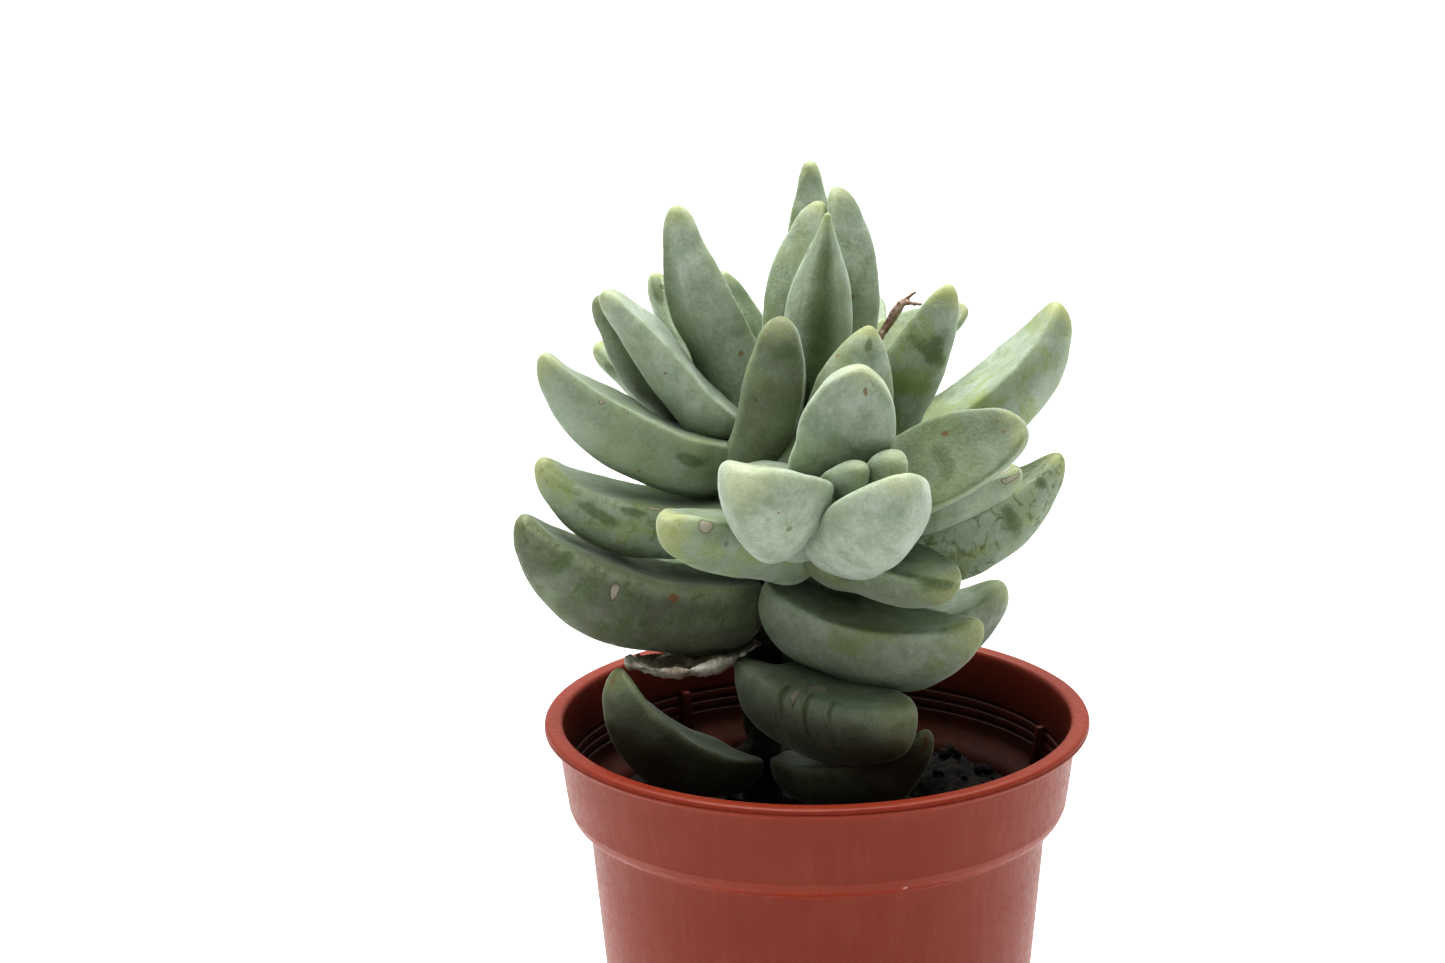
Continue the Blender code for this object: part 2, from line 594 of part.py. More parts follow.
def press(sprouts, solids):
    """Leaves that still touch grow thinner there, until each is clear of everything round it."""
    faces = leaf_faces()
    groups = carriers_of_samples(faces)
    surfaces = [Surface(sprout.points(), faces) for sprout in sprouts]
    moved = set(surfaces)
    for _ in range(PRESSING_ROUNDS):
        changed = []
        for number, sprout in enumerate(sprouts):
            mine = surfaces[number]
            others = [(other, 0.5) for other in surfaces if other is not mine and near(mine, other, SETTLING_GAP)]
            if mine not in moved and not any(other in moved for other, _ in others):
                continue
            others += [(solid, 1.0) for solid in solids if near(mine, solid, SETTLING_GAP)]
            shrink = np.zeros(len(mine.points))
            for other, share in others:
                for group in groups:
                    place = sum((mine.points[index] for index in group), Vector()) / len(group)
                    spot = np.array(place)
                    if np.any(spot < other.low - SETTLING_GAP) or np.any(spot > other.high + SETTLING_GAP):
                        continue
                    distance = other.outside(place, SETTLING_GAP)
                    if distance is not None:
                        amount = share * min(SETTLING_GAP - distance, 1.0)
                        for index in group:
                            shrink[index] = max(shrink[index], amount)
            if shrink.max() <= 0.02:
                continue
            changed.append(number)
            lengths = np.linalg.norm(sprout.offsets[1:-1], axis=2)
            step = shrink[1:-1].reshape(lengths.shape) / np.maximum(lengths, 0.2)
            scales = sprout.scales[1:-1] - step
            around = (np.roll(scales, 1, axis=1) + np.roll(scales, -1, axis=1)) / 2
            sprout.scales[1:-1] = np.clip(np.minimum(scales, around + 0.12), 0.12, 1)
            if shrink[-1] > 0.02:
                sprout.midrib[-1] += 0.3 * (sprout.midrib[-2] - sprout.midrib[-1])
            if shrink[0] > 0.02:
                sprout.midrib[0] += 0.3 * (sprout.midrib[1] - sprout.midrib[0])
        for number in changed:
            surfaces[number] = Surface(sprouts[number].points(), faces)
        moved = {surfaces[number] for number in changed}
        if not moved:
            break


def add_leaf(sprout, parts):
    """A sphere's mesh, shaped to the settled leaf."""
    shape = bmesh.new()
    bmesh.ops.create_uvsphere(shape, u_segments=LEAF_SIDES, v_segments=LEAF_RINGS, radius=1)
    places = sprout.points()
    for vertex in shape.verts:
        ring = round(math.acos(max(-1.0, min(1.0, -vertex.co.z))) / math.pi * LEAF_RINGS)
        corner = round(math.atan2(vertex.co.y, vertex.co.x) / math.tau * LEAF_SIDES) % LEAF_SIDES
        if ring == 0:
            index = 0
        elif ring == LEAF_RINGS:
            index = len(places) - 1
        else:
            index = 1 + (ring - 1) * LEAF_SIDES + corner
        vertex.co = millimetres(*places[index])
    leaf = sprout.leaf
    mesh = bpy.data.meshes.new(leaf.name)
    shape.to_mesh(mesh)
    shape.free()
    mesh.shade_smooth()
    return add_piece(leaf.name, mesh, leaf.finish, parts)


def surface_of(piece):
    mesh = evaluated_mesh(piece)
    points = np.array([vertex.co * 1000 for vertex in mesh.vertices])
    faces = []
    mesh.calc_loop_triangles()
    for triangle in mesh.loop_triangles:
        faces.append(tuple(triangle.vertices))
    return Surface(points, faces)


def main():
    clear_scene()
    parts = new_collection("potted_succulent")
    cutters = new_collection("cutters")
    fixed = [
        make_pot(parts, cutters),
        make_soil(parts, cutters),
        make_stem(parts, cutters),
        make_flower_stalk(parts, cutters),
    ]
    posts, post_radii = shoot_posts()
    sprouts = [Sprout(leaf, posts, post_radii) for leaf in LEAVES]
    spread(sprouts, posts, post_radii)
    press(sprouts, [surface_of(piece) for piece in fixed])
    for sprout in sprouts:
        add_leaf(sprout, parts)


main()
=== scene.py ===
"""Looks of a small branching succulent in a 5.5 cm plastic nursery pot.

Lengths are in metres, unless a comment says millimetres. The leaves are smoothed copies of their
solids, the pot is modelled afresh, and the rest are roughened copies of theirs.
"""

import math
import random
from collections import namedtuple
from functools import partial

import bpy
import numpy as np
from mathutils import Matrix, Vector, noise


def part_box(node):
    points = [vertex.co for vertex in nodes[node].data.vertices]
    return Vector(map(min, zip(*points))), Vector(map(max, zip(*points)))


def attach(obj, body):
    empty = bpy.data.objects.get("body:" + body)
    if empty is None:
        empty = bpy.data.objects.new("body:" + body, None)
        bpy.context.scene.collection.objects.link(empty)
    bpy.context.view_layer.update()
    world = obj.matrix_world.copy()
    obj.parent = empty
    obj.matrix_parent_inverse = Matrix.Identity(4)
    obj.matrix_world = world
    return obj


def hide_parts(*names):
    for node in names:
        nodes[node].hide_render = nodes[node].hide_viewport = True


MM = 0.001
SEED = 7

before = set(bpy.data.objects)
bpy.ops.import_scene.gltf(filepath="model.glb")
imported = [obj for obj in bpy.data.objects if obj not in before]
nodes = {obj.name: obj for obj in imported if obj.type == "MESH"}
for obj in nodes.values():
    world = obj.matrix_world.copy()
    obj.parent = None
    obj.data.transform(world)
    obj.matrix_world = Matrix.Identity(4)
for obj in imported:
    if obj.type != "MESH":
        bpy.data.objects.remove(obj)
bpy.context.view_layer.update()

# Corners this close together are one, on a solid of loose triangles and on a new piece.
SOLID_JOIN = 0.000005
PIECE_JOIN = 0.000002

# A leaf's solid is a foot point, nine rings of twelve corners, and a tip point. Corners 0 and 6
# are its margins, 3 is the middle of its upper side, and 9 is its keel.
LEAF_SIDES = 12
LEAF_RINGS = 10
MARGIN = 6
KEEL = 9
BODY_RINGS = range(3, 8)
FLAT_SIDE_WEIGHT = 2.5

# The smoothed leaf is fitted to its solid's corners in a few rounds before the last smoothing.
FIT_LEVELS = 2
FIT_ROUNDS = 3
FIT_SHARE = 0.9
LEAF_LEVELS = 3
KEEL_CREASE = 0.7

# The foot swells by this share, and reaches towards the stem by this many millimetres.
FOOT_SWELL = 0.5
FOOT_REACH = 1.2
SWELL_END = 0.4
REACH_END = 0.3
# How far a leaf's foot does both, where it isn't all the way.
CLASP = {
    "soil_leaf_left": 0.0,
    "soil_leaf_right": 0.0,
    "low_leaf_left": 0.7,
    "low_leaf_right": 0.6,
    "low_leaf_front": 0.5,
}

# The tip is made blunter over its last millimetres: pushed back, and filled out by as much.
TIP_LENGTH = 4.0
TIP_START = 0.6
TIP_ROUNDING = 0.65
ROUNDINGS = {
    "top_leaf_front": 0.25,
    "top_leaf_back": 0.9,
    "front_leaf_top": 0.4,
    "front_leaf_right": 0.5,
}

# Slow swells of a leaf's skin: millimetres in and out, and waves per metre.
SWELLS = ((0.22, 120), (0.13, 280), (0.04, 700))

# Marks are painted this much larger than their sizes, inside ragged edges.
MARK_GROWTH = {"stain": 1.5, "scar": 1.3, "rust": 1.0}
MARK_CENTRE = 1.3
MARK_RAGGED = 0.7
MARK_WAVES = 520

# A mark's place runs from 0 at the foot to 1 at the tip, its degrees go round the leaf from one
# margin over the upper side, and its half sizes are in millimetres along and round the leaf.
Mark = namedtuple("Mark", "kind place degrees half_length half_width")
stain = partial(Mark, "stain")
scar = partial(Mark, "scar")
rust = partial(Mark, "rust")

# Tone is the bloom, from worn to full; a low tone also darkens a leaf towards grey-brown, partly as
# weathering and partly as painted shade on the low leaves. Lime, streaks and keel are amounts of
# rubbed skin, olive streaks and a dark keel line of painted shade. Crease sharpens the margins, and
# fullness is in millimetres.
Look = namedtuple(
    "Look",
    "crease fullness tone lime streaks keel marks",
    defaults=(0.0, 0.0, 0.6, 0.25, 0.0, 0.0, ()),
)
LEAF_LOOKS = {
    "top_leaf_front": Look(lime=0.3, keel=1.0, marks=(rust(0.8, -170, 0.35, 0.35),)),
    "top_leaf_left": Look(tone=0.7, lime=0.4, crease=0.1),
    "top_leaf_right": Look(
        lime=0.3, marks=(rust(0.5, -150, 0.4, 0.3), rust(0.35, -130, 0.3, 0.3)),
    ),
    "top_leaf_back": Look(tone=0.95, lime=0.5, marks=(rust(0.75, -90, 0.3, 0.3),)),
    "top_leaf_outer_right": Look(
        tone=0.7, lime=0.6, streaks=0.1,
        marks=(stain(0.9, -100, 1.0, 0.9), rust(0.8, -160, 0.4, 0.4), stain(0.65, -140, 1.4, 0.8)),
    ),
    "top_leaf_outer_left": Look(
        tone=0.15, lime=0.5, streaks=0.15, crease=0.1,
        marks=(stain(0.85, -115, 0.9, 1.6), stain(0.8, -70, 0.7, 1.2), rust(0.9, -85, 0.35, 0.35)),
    ),
    "left_leaf_top": Look(
        tone=0.75, lime=0.3, keel=0.7, crease=0.1,
        marks=(rust(0.7, -100, 0.3, 0.3), rust(0.3, -20, 0.3, 0.3)),
    ),
    "left_leaf_upper": Look(
        tone=0.8, lime=0.2, crease=0.2,
        marks=(rust(0.5, -30, 0.25, 0.25), rust(0.75, -60, 0.25, 0.25)),
    ),
    "left_leaf_lower": Look(tone=0.25, lime=0.2, keel=0.3, crease=0.2),
    "left_leaf_small": Look(
        lime=0.8, streaks=0.2, marks=(stain(0.8, -5, 1.2, 1.0), stain(0.55, -40, 0.8, 0.8)),
    ),
    "left_leaf_behind": Look(tone=0.7, lime=0.9, marks=(stain(0.85, 15, 1.3, 1.0),)),
    "left_leaf_lowest": Look(
        tone=0.5, lime=0.35, crease=0.1,
        marks=(
            scar(0.7, -5, 0.3, 0.3), scar(0.6, 5, 0.3, 0.3), rust(0.4, -60, 0.3, 0.3),
            stain(0.25, -20, 1.5, 0.5),
        ),
    ),
    "front_leaf_top": Look(
        tone=1.0, lime=0.15, fullness=0.1,
        marks=(rust(0.95, 135, 0.45, 0.4), rust(0.88, 105, 0.55, 0.4)),
    ),
    "front_leaf_left": Look(
        tone=0.85, lime=0.15, streaks=0.1, fullness=0.2,
        marks=(rust(0.85, -45, 0.35, 0.3), rust(0.4, -100, 0.3, 0.3)),
    ),
    "front_leaf_right": Look(
        tone=0.85, lime=0.1, fullness=0.15, marks=(rust(0.5, -60, 0.25, 0.25),),
    ),
    "front_bud_left": Look(tone=0.55, lime=0.0, fullness=0.1),
    "front_bud_right": Look(tone=0.55, lime=0.0, fullness=0.1),
    "front_leaf_far_right": Look(
        tone=0.35, lime=0.4, streaks=0.15, crease=0.1,
        marks=(
            rust(0.62, 60, 0.5, 0.5), rust(0.9, 60, 0.35, 0.3), rust(0.92, 90, 0.4, 0.4),
            stain(0.58, 95, 1.0, 2.2),
        ),
    ),
    "front_leaf_thin": Look(
        lime=0.3, streaks=0.1, keel=0.3, crease=0.1,
        marks=(scar(0.95, -170, 0.8, 0.8), scar(0.95, 150, 0.7, 0.8)),
    ),
    "front_leaf_left_low": Look(
        tone=0.5, lime=0.8, streaks=0.2, fullness=0.1,
        marks=(scar(0.86, 0, 0.8, 0.9), rust(0.6, -20, 0.4, 0.3)),
    ),
    "front_leaf_right_low": Look(
        tone=0.3, lime=0.5, streaks=0.3, crease=0.1,
        marks=(stain(0.94, 175, 1.2, 1.7), stain(0.6, 90, 1.6, 0.8), stain(0.8, 150, 0.8, 1.4)),
    ),
    "middle_leaf_left": Look(
        tone=0.5, lime=0.95, streaks=0.45, crease=0.15,
        marks=(
            stain(0.7, -25, 2.2, 0.6), scar(0.46, 15, 0.8, 0.6), stain(0.56, -5, 1.8, 0.4),
            stain(0.4, -20, 0.6, 1.2),
        ),
    ),
    "middle_leaf_right": Look(
        tone=0.5, lime=0.8, streaks=0.95, crease=0.2,
        marks=(stain(0.72, -160, 0.8, 2.2), stain(0.88, -170, 0.8, 1.6)),
    ),
    "low_leaf_left": Look(
        tone=0.05, lime=0.3, streaks=0.9, crease=0.3,
        marks=(
            scar(0.58, -15, 0.45, 0.9), rust(0.36, -5, 0.8, 0.9), stain(0.67, -30, 0.7, 2.2),
            stain(0.8, -25, 0.7, 2.0), stain(0.5, -35, 0.5, 1.8), scar(0.5, -80, 0.35, 0.5),
        ),
    ),
    "low_leaf_front": Look(
        tone=0.45, lime=0.1, streaks=0.35, fullness=0.7,
        marks=(
            scar(0.52, 115, 1.0, 1.4), stain(0.4, 165, 0.4, 2.4), stain(0.56, 175, 0.35, 2.6),
            stain(0.7, 170, 0.35, 2.4), scar(0.48, 160, 0.4, 1.0),
        ),
    ),
    "low_leaf_right": Look(
        tone=0.75, lime=0.75, streaks=0.15, crease=0.3, fullness=0.1,
        marks=(stain(0.3, 60, 2.0, 1.5), rust(1.0, 170, 0.25, 0.5)),
    ),
    "low_leaf_back": Look(tone=1.0, lime=0.4, streaks=0.1, crease=0.1),
    "soil_leaf_left": Look(
        tone=0.0, lime=0.5, streaks=0.1, crease=0.2, marks=(rust(0.97, -60, 0.6, 0.8),),
    ),
    "soil_leaf_right": Look(
        tone=0.0, lime=0.3, streaks=0.1, crease=0.2,
        marks=(rust(0.97, -135, 1.0, 1.6), rust(0.8, 170, 0.8, 0.6)),
    ),
    "right_leaf_long": Look(lime=1.0, streaks=0.1, crease=0.2),
    "right_leaf_front": Look(
        tone=0.75, lime=1.0, streaks=0.1, marks=(stain(0.72, -120, 1.6, 1.3),),
    ),
    "right_leaf_back": Look(tone=0.7, lime=0.7, streaks=0.1),
}

# Colours of a leaf's skin, from its green flesh to what lies on it.
FLESH_DARK = (0.2, 0.255, 0.145)
FLESH_LIGHT = (0.26, 0.31, 0.21)
BLOOM = (0.63, 0.69, 0.6)
RUBBED_LIME = (0.3, 0.36, 0.12)
TIP_LIME = (0.4, 0.41, 0.16)
# Painted shade at a leaf's foot.
FOOT_SHADE = (0.13, 0.155, 0.09)
# Weathering on old leaves, and painted shade on the low ones.
WEATHERED_AND_SHADED = (0.115, 0.115, 0.078)
MARGIN_PALE = (0.5, 0.56, 0.38)
STREAK_OLIVE = (0.12, 0.155, 0.055)
# Painted shade along the keel.
KEEL_SHADE = (0.12, 0.165, 0.065)
STAIN_OLIVE = (0.12, 0.16, 0.065)
RUST_BROWN = (0.26, 0.13, 0.055)
SCAR_CORK = (0.5, 0.44, 0.37)
SCAR_RIM = (0.13, 0.1, 0.06)
CORKY_DOT = (0.16, 0.13, 0.07)
LEAF_DUST = (0.62, 0.66, 0.58)
LEAF_SHEEN = (0.9, 1.0, 0.92, 1)

# Colours of the pot's plastic, and the painted shade inside it.
PLASTIC_DARK = (0.25, 0.034, 0.013)
PLASTIC_LIGHT = (0.29, 0.045, 0.018)
PLASTIC_STREAK = (0.46, 0.16, 0.11)
PLASTIC_DUST = (0.45, 0.16, 0.1)
PALE_SPECK = (0.6, 0.45, 0.4)
DARK_SPECK = (0.1, 0.03, 0.02)
# Painted shade for the pot's inner wall.
INNER_WALL_SHADE = (0.075, 0.028, 0.018)

# Dark and light colours of the earthy and dried pieces.
PEAT_DARK, PEAT_LIGHT = (0.008, 0.006, 0.005), (0.026, 0.02, 0.015)
BARK_DARK, BARK_LIGHT = (0.03, 0.024, 0.02), (0.1, 0.085, 0.07)
STRAW_DARK, STRAW_LIGHT = (0.26, 0.17, 0.13), (0.5, 0.38, 0.31)
PAPER_DARK, PAPER_LIGHT = (0.36, 0.29, 0.21), (0.95, 0.92, 0.84)

# The camera's lens is in millimetres, and its pitch is in degrees and its roll in radians.
CAMERA_LENS = 123.4
CAMERA_PLACE = (-0.0092, -0.4718, 0.2171)
CAMERA_PITCH = 16.8
CAMERA_ROLL = -0.01323

FLOOR_WHITE = (0.93, 0.95, 0.95)
STUDIO_WHITE = (0.97, 1.0, 1.0)

# The pot, in millimetres, with edges under this many degrees shaded smooth. The three fine rings
# lie on the inside of the collar.
POT_STEPS = 160
SMOOTH_UNDER = 40
RING_HEIGHTS = (42.9, 43.9, 44.9)
COLLAR_FOOT = 42.3
COLLAR_RADIUS = 24.5
COLLAR_SLOPE = 0.13
DRAINS = 6
DRAIN_RADIUS = 1.8
DRAIN_REACH = 13

# The ribs that keep stacked pots apart, in millimetres, and degrees for where the first stands.
RIBS = 7
RIB_START = 20.0
RIB_REACH = 24.2
RIB_HEIGHT = 43.3
RIB_TOP = 43
RIB_SIZE = (1.4, 0.9, 4.2)
RIB_LEAN_IN = 0.75
RIB_LEAN_OUT = 0.25

# The soil, in millimetres. The bed is rough near its top, and stays clear of the pot's wall.
SOIL_LEVEL = 39.5
BED_GRAIN = 0.55
BED_DEPTH = 1.6
BED_FADE = 0.8
BED_REACH = 22.3
BED_BUMPS = ((3.0, 5.0), (1.6, 1.6), (0.7, 0.6))
CRUMBS = 420
CRUMB_SHAPES = 4
CRUMB_REACH = 21.6
CRUMB_LOWEST = 3


# --- working with Blender ---


def deselect():
    if bpy.context.object and bpy.context.object.mode != "OBJECT":
        bpy.ops.object.mode_set(mode="OBJECT")
    bpy.ops.object.select_all(action="DESELECT")


def work_on(piece):
    deselect()
    piece.select_set(True)
    bpy.context.view_layer.objects.active = piece


def apply_modifiers(piece):
    work_on(piece)
    for modifier in list(piece.modifiers):
        bpy.ops.object.modifier_apply(modifier=modifier.name)


def place_in_mesh(piece):
    work_on(piece)
    bpy.ops.object.transform_apply(location=True, rotation=True, scale=True)


def join(pieces):
    """Makes the pieces one, under the first one's name."""
    deselect()
    for piece in pieces:
        piece.select_set(True)
    bpy.context.view_layer.objects.active = pieces[0]
    bpy.ops.object.join()


def edit_all(piece):
    """Starts on a piece's mesh with all of it selected."""
    work_on(piece)
    bpy.ops.object.mode_set(mode="EDIT")
    bpy.ops.mesh.select_all(action="SELECT")


def outward(piece):
    """Joins a new piece's doubled corners and turns its faces outwards."""
    edit_all(piece)
    bpy.ops.mesh.remove_doubles(threshold=PIECE_JOIN)
    bpy.ops.mesh.normals_make_consistent(inside=False)
    bpy.ops.object.mode_set(mode="OBJECT")


def new_object(name, data):
    made = bpy.data.objects.new(name, data)
    bpy.context.scene.collection.objects.link(made)
    return made


def copy_of(piece):
    """Another of a piece, with its own mesh."""
    made = piece.copy()
    made.data = piece.data.copy()
    bpy.context.scene.collection.objects.link(made)
    return made


def copy_of_solid(node):
    """A copy of a node's solid with its loose triangles joined."""
    deselect()
    bpy.context.tool_settings.mesh_select_mode = (True, False, False)
    piece = new_object(f"{node}_look", nodes[node].data.copy())
    edit_all(piece)
    bpy.ops.mesh.remove_doubles(threshold=SOLID_JOIN)
    bpy.ops.object.mode_set(mode="OBJECT")
    return piece


def dress(piece, material, slot, *replaced):
    """Gives a finished piece its material and its place in the frame."""
    piece.data.materials.clear()
    piece.data.materials.append(material)
    for face in piece.data.polygons:
        face.use_smooth = True
    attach(piece, "root")
    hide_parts(*replaced)


def point_attribute(mesh, name, values):
    attribute = mesh.attributes.get(name) or mesh.attributes.new(name, "FLOAT", "POINT")
    attribute.data.foreach_set("value", np.asarray(values, np.float32))


def values_of(mesh, name):
    values = np.empty(len(mesh.vertices), np.float32)
    mesh.attributes[name].data.foreach_get("value", values)
    return values.astype(float)


def coordinates(mesh):
    flat = np.empty(len(mesh.vertices) * 3, np.float32)
    mesh.vertices.foreach_get("co", flat)
    return flat.reshape(-1, 3).astype(float)


def set_coordinates(mesh, places):
    mesh.vertices.foreach_set("co", np.asarray(places, np.float32).ravel())
    mesh.update()


# --- nodes of a material ---


class Tree:
    """A node tree that is written from left to right."""

    def __init__(self, tree):
        self.tree = tree

    def node(self, kind, **settings):
        made = self.tree.nodes.new(kind)
        for name, value in settings.items():
            setattr(made, name, value)
        return made

    def feed(self, socket, value):
        if isinstance(value, bpy.types.NodeSocket):
            self.tree.links.new(value, socket)
        elif isinstance(value, tuple) and len(value) == 3 and socket.type == "RGBA":
            socket.default_value = (*value, 1)
        else:
            socket.default_value = value

    def feed_named(self, made, **values):
        """Feeds inputs by their names, written with underlines for spaces."""
        for name, value in values.items():
            self.feed(made.inputs[name.replace("_", " ")], value)

    def math(self, operation, first, second, clamp=False):
        made = self.node("ShaderNodeMath", operation=operation, use_clamp=clamp)
        self.feed(made.inputs[0], first)
        self.feed(made.inputs[1], second)
        return made.outputs[0]

    def plus(self, first, second):
        return self.math("ADD", first, second)

    def minus(self, first, second, clamp=False):
        return self.math("SUBTRACT", first, second, clamp)

    def times(self, first, second, clamp=False):
        return self.math("MULTIPLY", first, second, clamp)

    def line(self, value, start, slope, level):
        """Straight, with this level at the start."""
        return self.plus(self.times(self.minus(value, start), slope), level)

    def ramp(self, value, low, high, to_low=0.0, to_high=1.0):
        made = self.node("ShaderNodeMapRange", interpolation_type="SMOOTHSTEP")
        self.feed_named(made, Value=value, From_Min=low, From_Max=high)
        self.feed_named(made, To_Min=to_low, To_Max=to_high)
        return made.outputs[0]

    def blend(self, share, first, second):
        """Goes from the first colour to the second as the share goes from 0 to 1."""
        made = self.node("ShaderNodeMix", data_type="RGBA")
        self.feed(made.inputs["Factor"], share)
        self.feed(made.inputs[6], first)
        self.feed(made.inputs[7], second)
        return made.outputs[2]

    def noise(self, place, scale, detail, rough, twist=0.0):
        made = self.node("ShaderNodeTexNoise")
        self.feed_named(made, Vector=place, Scale=scale, Detail=detail)
        self.feed_named(made, Roughness=rough, Distortion=twist)
        return made.outputs["Fac"]

    def attribute(self, name):
        return self.node("ShaderNodeAttribute", attribute_name=name).outputs["Fac"]

    def object_place(self):
        return self.node("ShaderNodeTexCoord").outputs["Object"]

    def split(self, place):
        made = self.node("ShaderNodeSeparateXYZ")
        self.feed(made.inputs[0], place)
        return made.outputs

    def bump(self, height, strength, distance, before=None):
        made = self.node("ShaderNodeBump")
        self.feed_named(made, Height=height, Strength=strength, Distance=distance)
        if before is not None:
            self.feed(made.inputs["Normal"], before)
        return made.outputs[0]

    def group(self, group, **values):
        made = self.node("ShaderNodeGroup", node_tree=group)
        self.feed_named(made, **values)
        return made.outputs


def new_material(name, colour, roughness):
    material = bpy.data.materials.new(name)
    material.use_nodes = True
    material.diffuse_color = (*colour, 1)
    shader = material.node_tree.nodes["Principled BSDF"]
    shader.inputs["Roughness"].default_value = roughness
    return material, Tree(material.node_tree), shader


def new_group(name, inputs, outputs):
    """A shared effect: its inputs and outputs are given as their names and their kinds."""
    group = bpy.data.node_groups.new(name, "ShaderNodeTree")
    for label, kind in inputs.items():
        group.interface.new_socket(label, in_out="INPUT", socket_type=f"NodeSocket{kind}")
    for label, kind in outputs.items():
        group.interface.new_socket(label, in_out="OUTPUT", socket_type=f"NodeSocket{kind}")
    tree = Tree(group)
    given = tree.node("NodeGroupInput").outputs
    return group, tree, given, tree.node("NodeGroupOutput").inputs


def make_dust_group():
    """Fine pale dust, in patches."""
    group, tree, given, result = new_group(
        "dust",
        {"Place": "Vector", "Scale": "Float", "Amount": "Float"},
        {"Mask": "Float"},
    )
    cloud = tree.noise(given["Place"], tree.times(given["Scale"], 0.12), 4.0, 0.6)
    grain = tree.noise(given["Place"], given["Scale"], 5.0, 0.7)
    patch = tree.times(tree.ramp(cloud, 0.4, 0.7), 0.6)
    fine = tree.times(tree.ramp(grain, 0.45, 0.75), 0.6)
    mask = tree.times(tree.plus(patch, fine), given["Amount"], clamp=True)
    tree.feed(result["Mask"], mask)
    return group


def make_specks_group():
    """Scattered dots: only this share of the cells has one."""
    group, tree, given, result = new_group(
        "specks",
        {"Place": "Vector", "Scale": "Float", "Share": "Float", "Size": "Float"},
        {"Mask": "Float"},
    )
    cells = tree.node("ShaderNodeTexVoronoi")
    tree.feed_named(cells, Vector=given["Place"], Scale=given["Scale"])
    drawn = tree.node("ShaderNodeSeparateColor")
    tree.feed(drawn.inputs[0], cells.outputs["Color"])
    chosen = tree.math("LESS_THAN", drawn.outputs[0], given["Share"])
    dot = tree.ramp(cells.outputs["Distance"], given["Size"], tree.times(given["Size"], 0.5))
    tree.feed(result["Mask"], tree.times(chosen, dot))
    return group


def make_mottle_group():
    """Two colours in crumbly patches with paler grains, and the height that goes with them."""
    group, tree, given, result = new_group(
        "mottle",
        {"Place": "Vector", "Scale": "Float", "Dark": "Color", "Light": "Color", "Pale": "Color"},
        {"Colour": "Color", "Grain": "Float", "Height": "Float"},
    )
    coarse = tree.noise(given["Place"], given["Scale"], 5.0, 0.65)
    fine = tree.noise(given["Place"], tree.times(given["Scale"], 6.0), 4.0, 0.7)
    colour = tree.blend(tree.ramp(coarse, 0.35, 0.7), given["Dark"], given["Light"])
    colour = tree.blend(tree.times(tree.ramp(fine, 0.55, 0.8), 0.5), colour, given["Pale"])
    tree.feed(result["Colour"], colour)
    tree.feed(result["Grain"], fine)
    tree.feed(result["Height"], tree.plus(coarse, tree.times(fine, 0.4)))
    return group


dust_group = make_dust_group()
specks_group = make_specks_group()
mottle_group = make_mottle_group()


def leaf_flesh(tree, place, along, middle, fine):
    """A leaf's skin from foot to tip, under its lines and marks."""
    tone = tree.attribute("tone")
    lime = tree.attribute("lime")
    broad = tree.noise(place, 110.0, 3.0, 0.55)
    colour = tree.blend(tree.ramp(broad, 0.35, 0.68), FLESH_DARK, FLESH_LIGHT)
    # Less bloom on a low-toned leaf darkens it, which on the low leaves is partly painted shade.
    powder = tree.plus(tree.times(tree.ramp(middle, 0.3, 0.7), 0.42), tree.times(fine, 0.6))
    powder = tree.times(powder, tree.ramp(tone, 0.0, 1.0, 0.06, 1.0), clamp=True)
    colour = tree.blend(powder, colour, BLOOM)

    # Where the bloom has been rubbed off, the skin shows through as yellower green.
    rubbed = tree.ramp(tree.noise(place, 190.0, 5.0, 0.62, 0.8), 0.46, 0.62)
    colour = tree.blend(tree.times(tree.times(rubbed, lime), 0.7), colour, RUBBED_LIME)

    # The tip turns yellow-green.
    tip_edge = tree.plus(along, tree.times(tree.minus(middle, 0.5), 0.12))
    tip = tree.times(tree.ramp(tip_edge, 0.88, 1.0), tree.plus(tree.times(lime, 0.5), 0.3))
    colour = tree.blend(tip, colour, TIP_LIME)

    # The foot is darkened with painted shade, and an old or low leaf is darkened to a brownish
    # grey, partly by weathering and partly as painted shade.
    foot = tree.ramp(along, 0.3, 0.02)
    colour = tree.blend(tree.times(foot, 0.45), colour, FOOT_SHADE)
    patches = tree.ramp(tree.noise(place, 260.0, 4.0, 0.6), 0.25, 0.65, 0.35, 1.0)
    age_and_shade = tree.times(tree.ramp(tone, 0.55, 0.0), patches)
    return broad, tree.blend(tree.times(age_and_shade, 0.75), colour, WEATHERED_AND_SHADED)


def leaf_lines(tree, colour, along):
    """Paler margins, olive streaks where the leaf has been creased, and a keel line darkened with
    painted shade.
    """
    across = tree.attribute("across")
    above = tree.attribute("above")
    edge = tree.ramp(tree.math("ABSOLUTE", above, 0.0), 0.24, 0.0)
    edge = tree.times(edge, tree.ramp(along, 0.1, 0.35))
    colour = tree.blend(tree.times(edge, 0.3), colour, MARGIN_PALE)

    lengthwise = tree.node("ShaderNodeCombineXYZ")
    tree.feed(lengthwise.inputs[0], tree.times(along, 26.0))
    tree.feed(lengthwise.inputs[1], tree.times(across, 2.6))
    tree.feed(lengthwise.inputs[2], tree.times(above, 2.6))
    streak = tree.ramp(tree.noise(lengthwise.outputs[0], 1.0, 5.0, 0.65, 0.8), 0.5, 0.66)
    streak = tree.times(streak, tree.times(tree.attribute("streaks"), 0.9))
    colour = tree.blend(streak, colour, STREAK_OLIVE)

    # The dark keel line is painted shade along the leaf's crease.
    below = tree.ramp(above, -0.8, -0.98)
    keel = tree.times(tree.times(below, tree.attribute("keel_shade")), tree.ramp(along, 1.0, 0.8))
    return tree.blend(tree.times(keel, 0.85), colour, KEEL_SHADE)


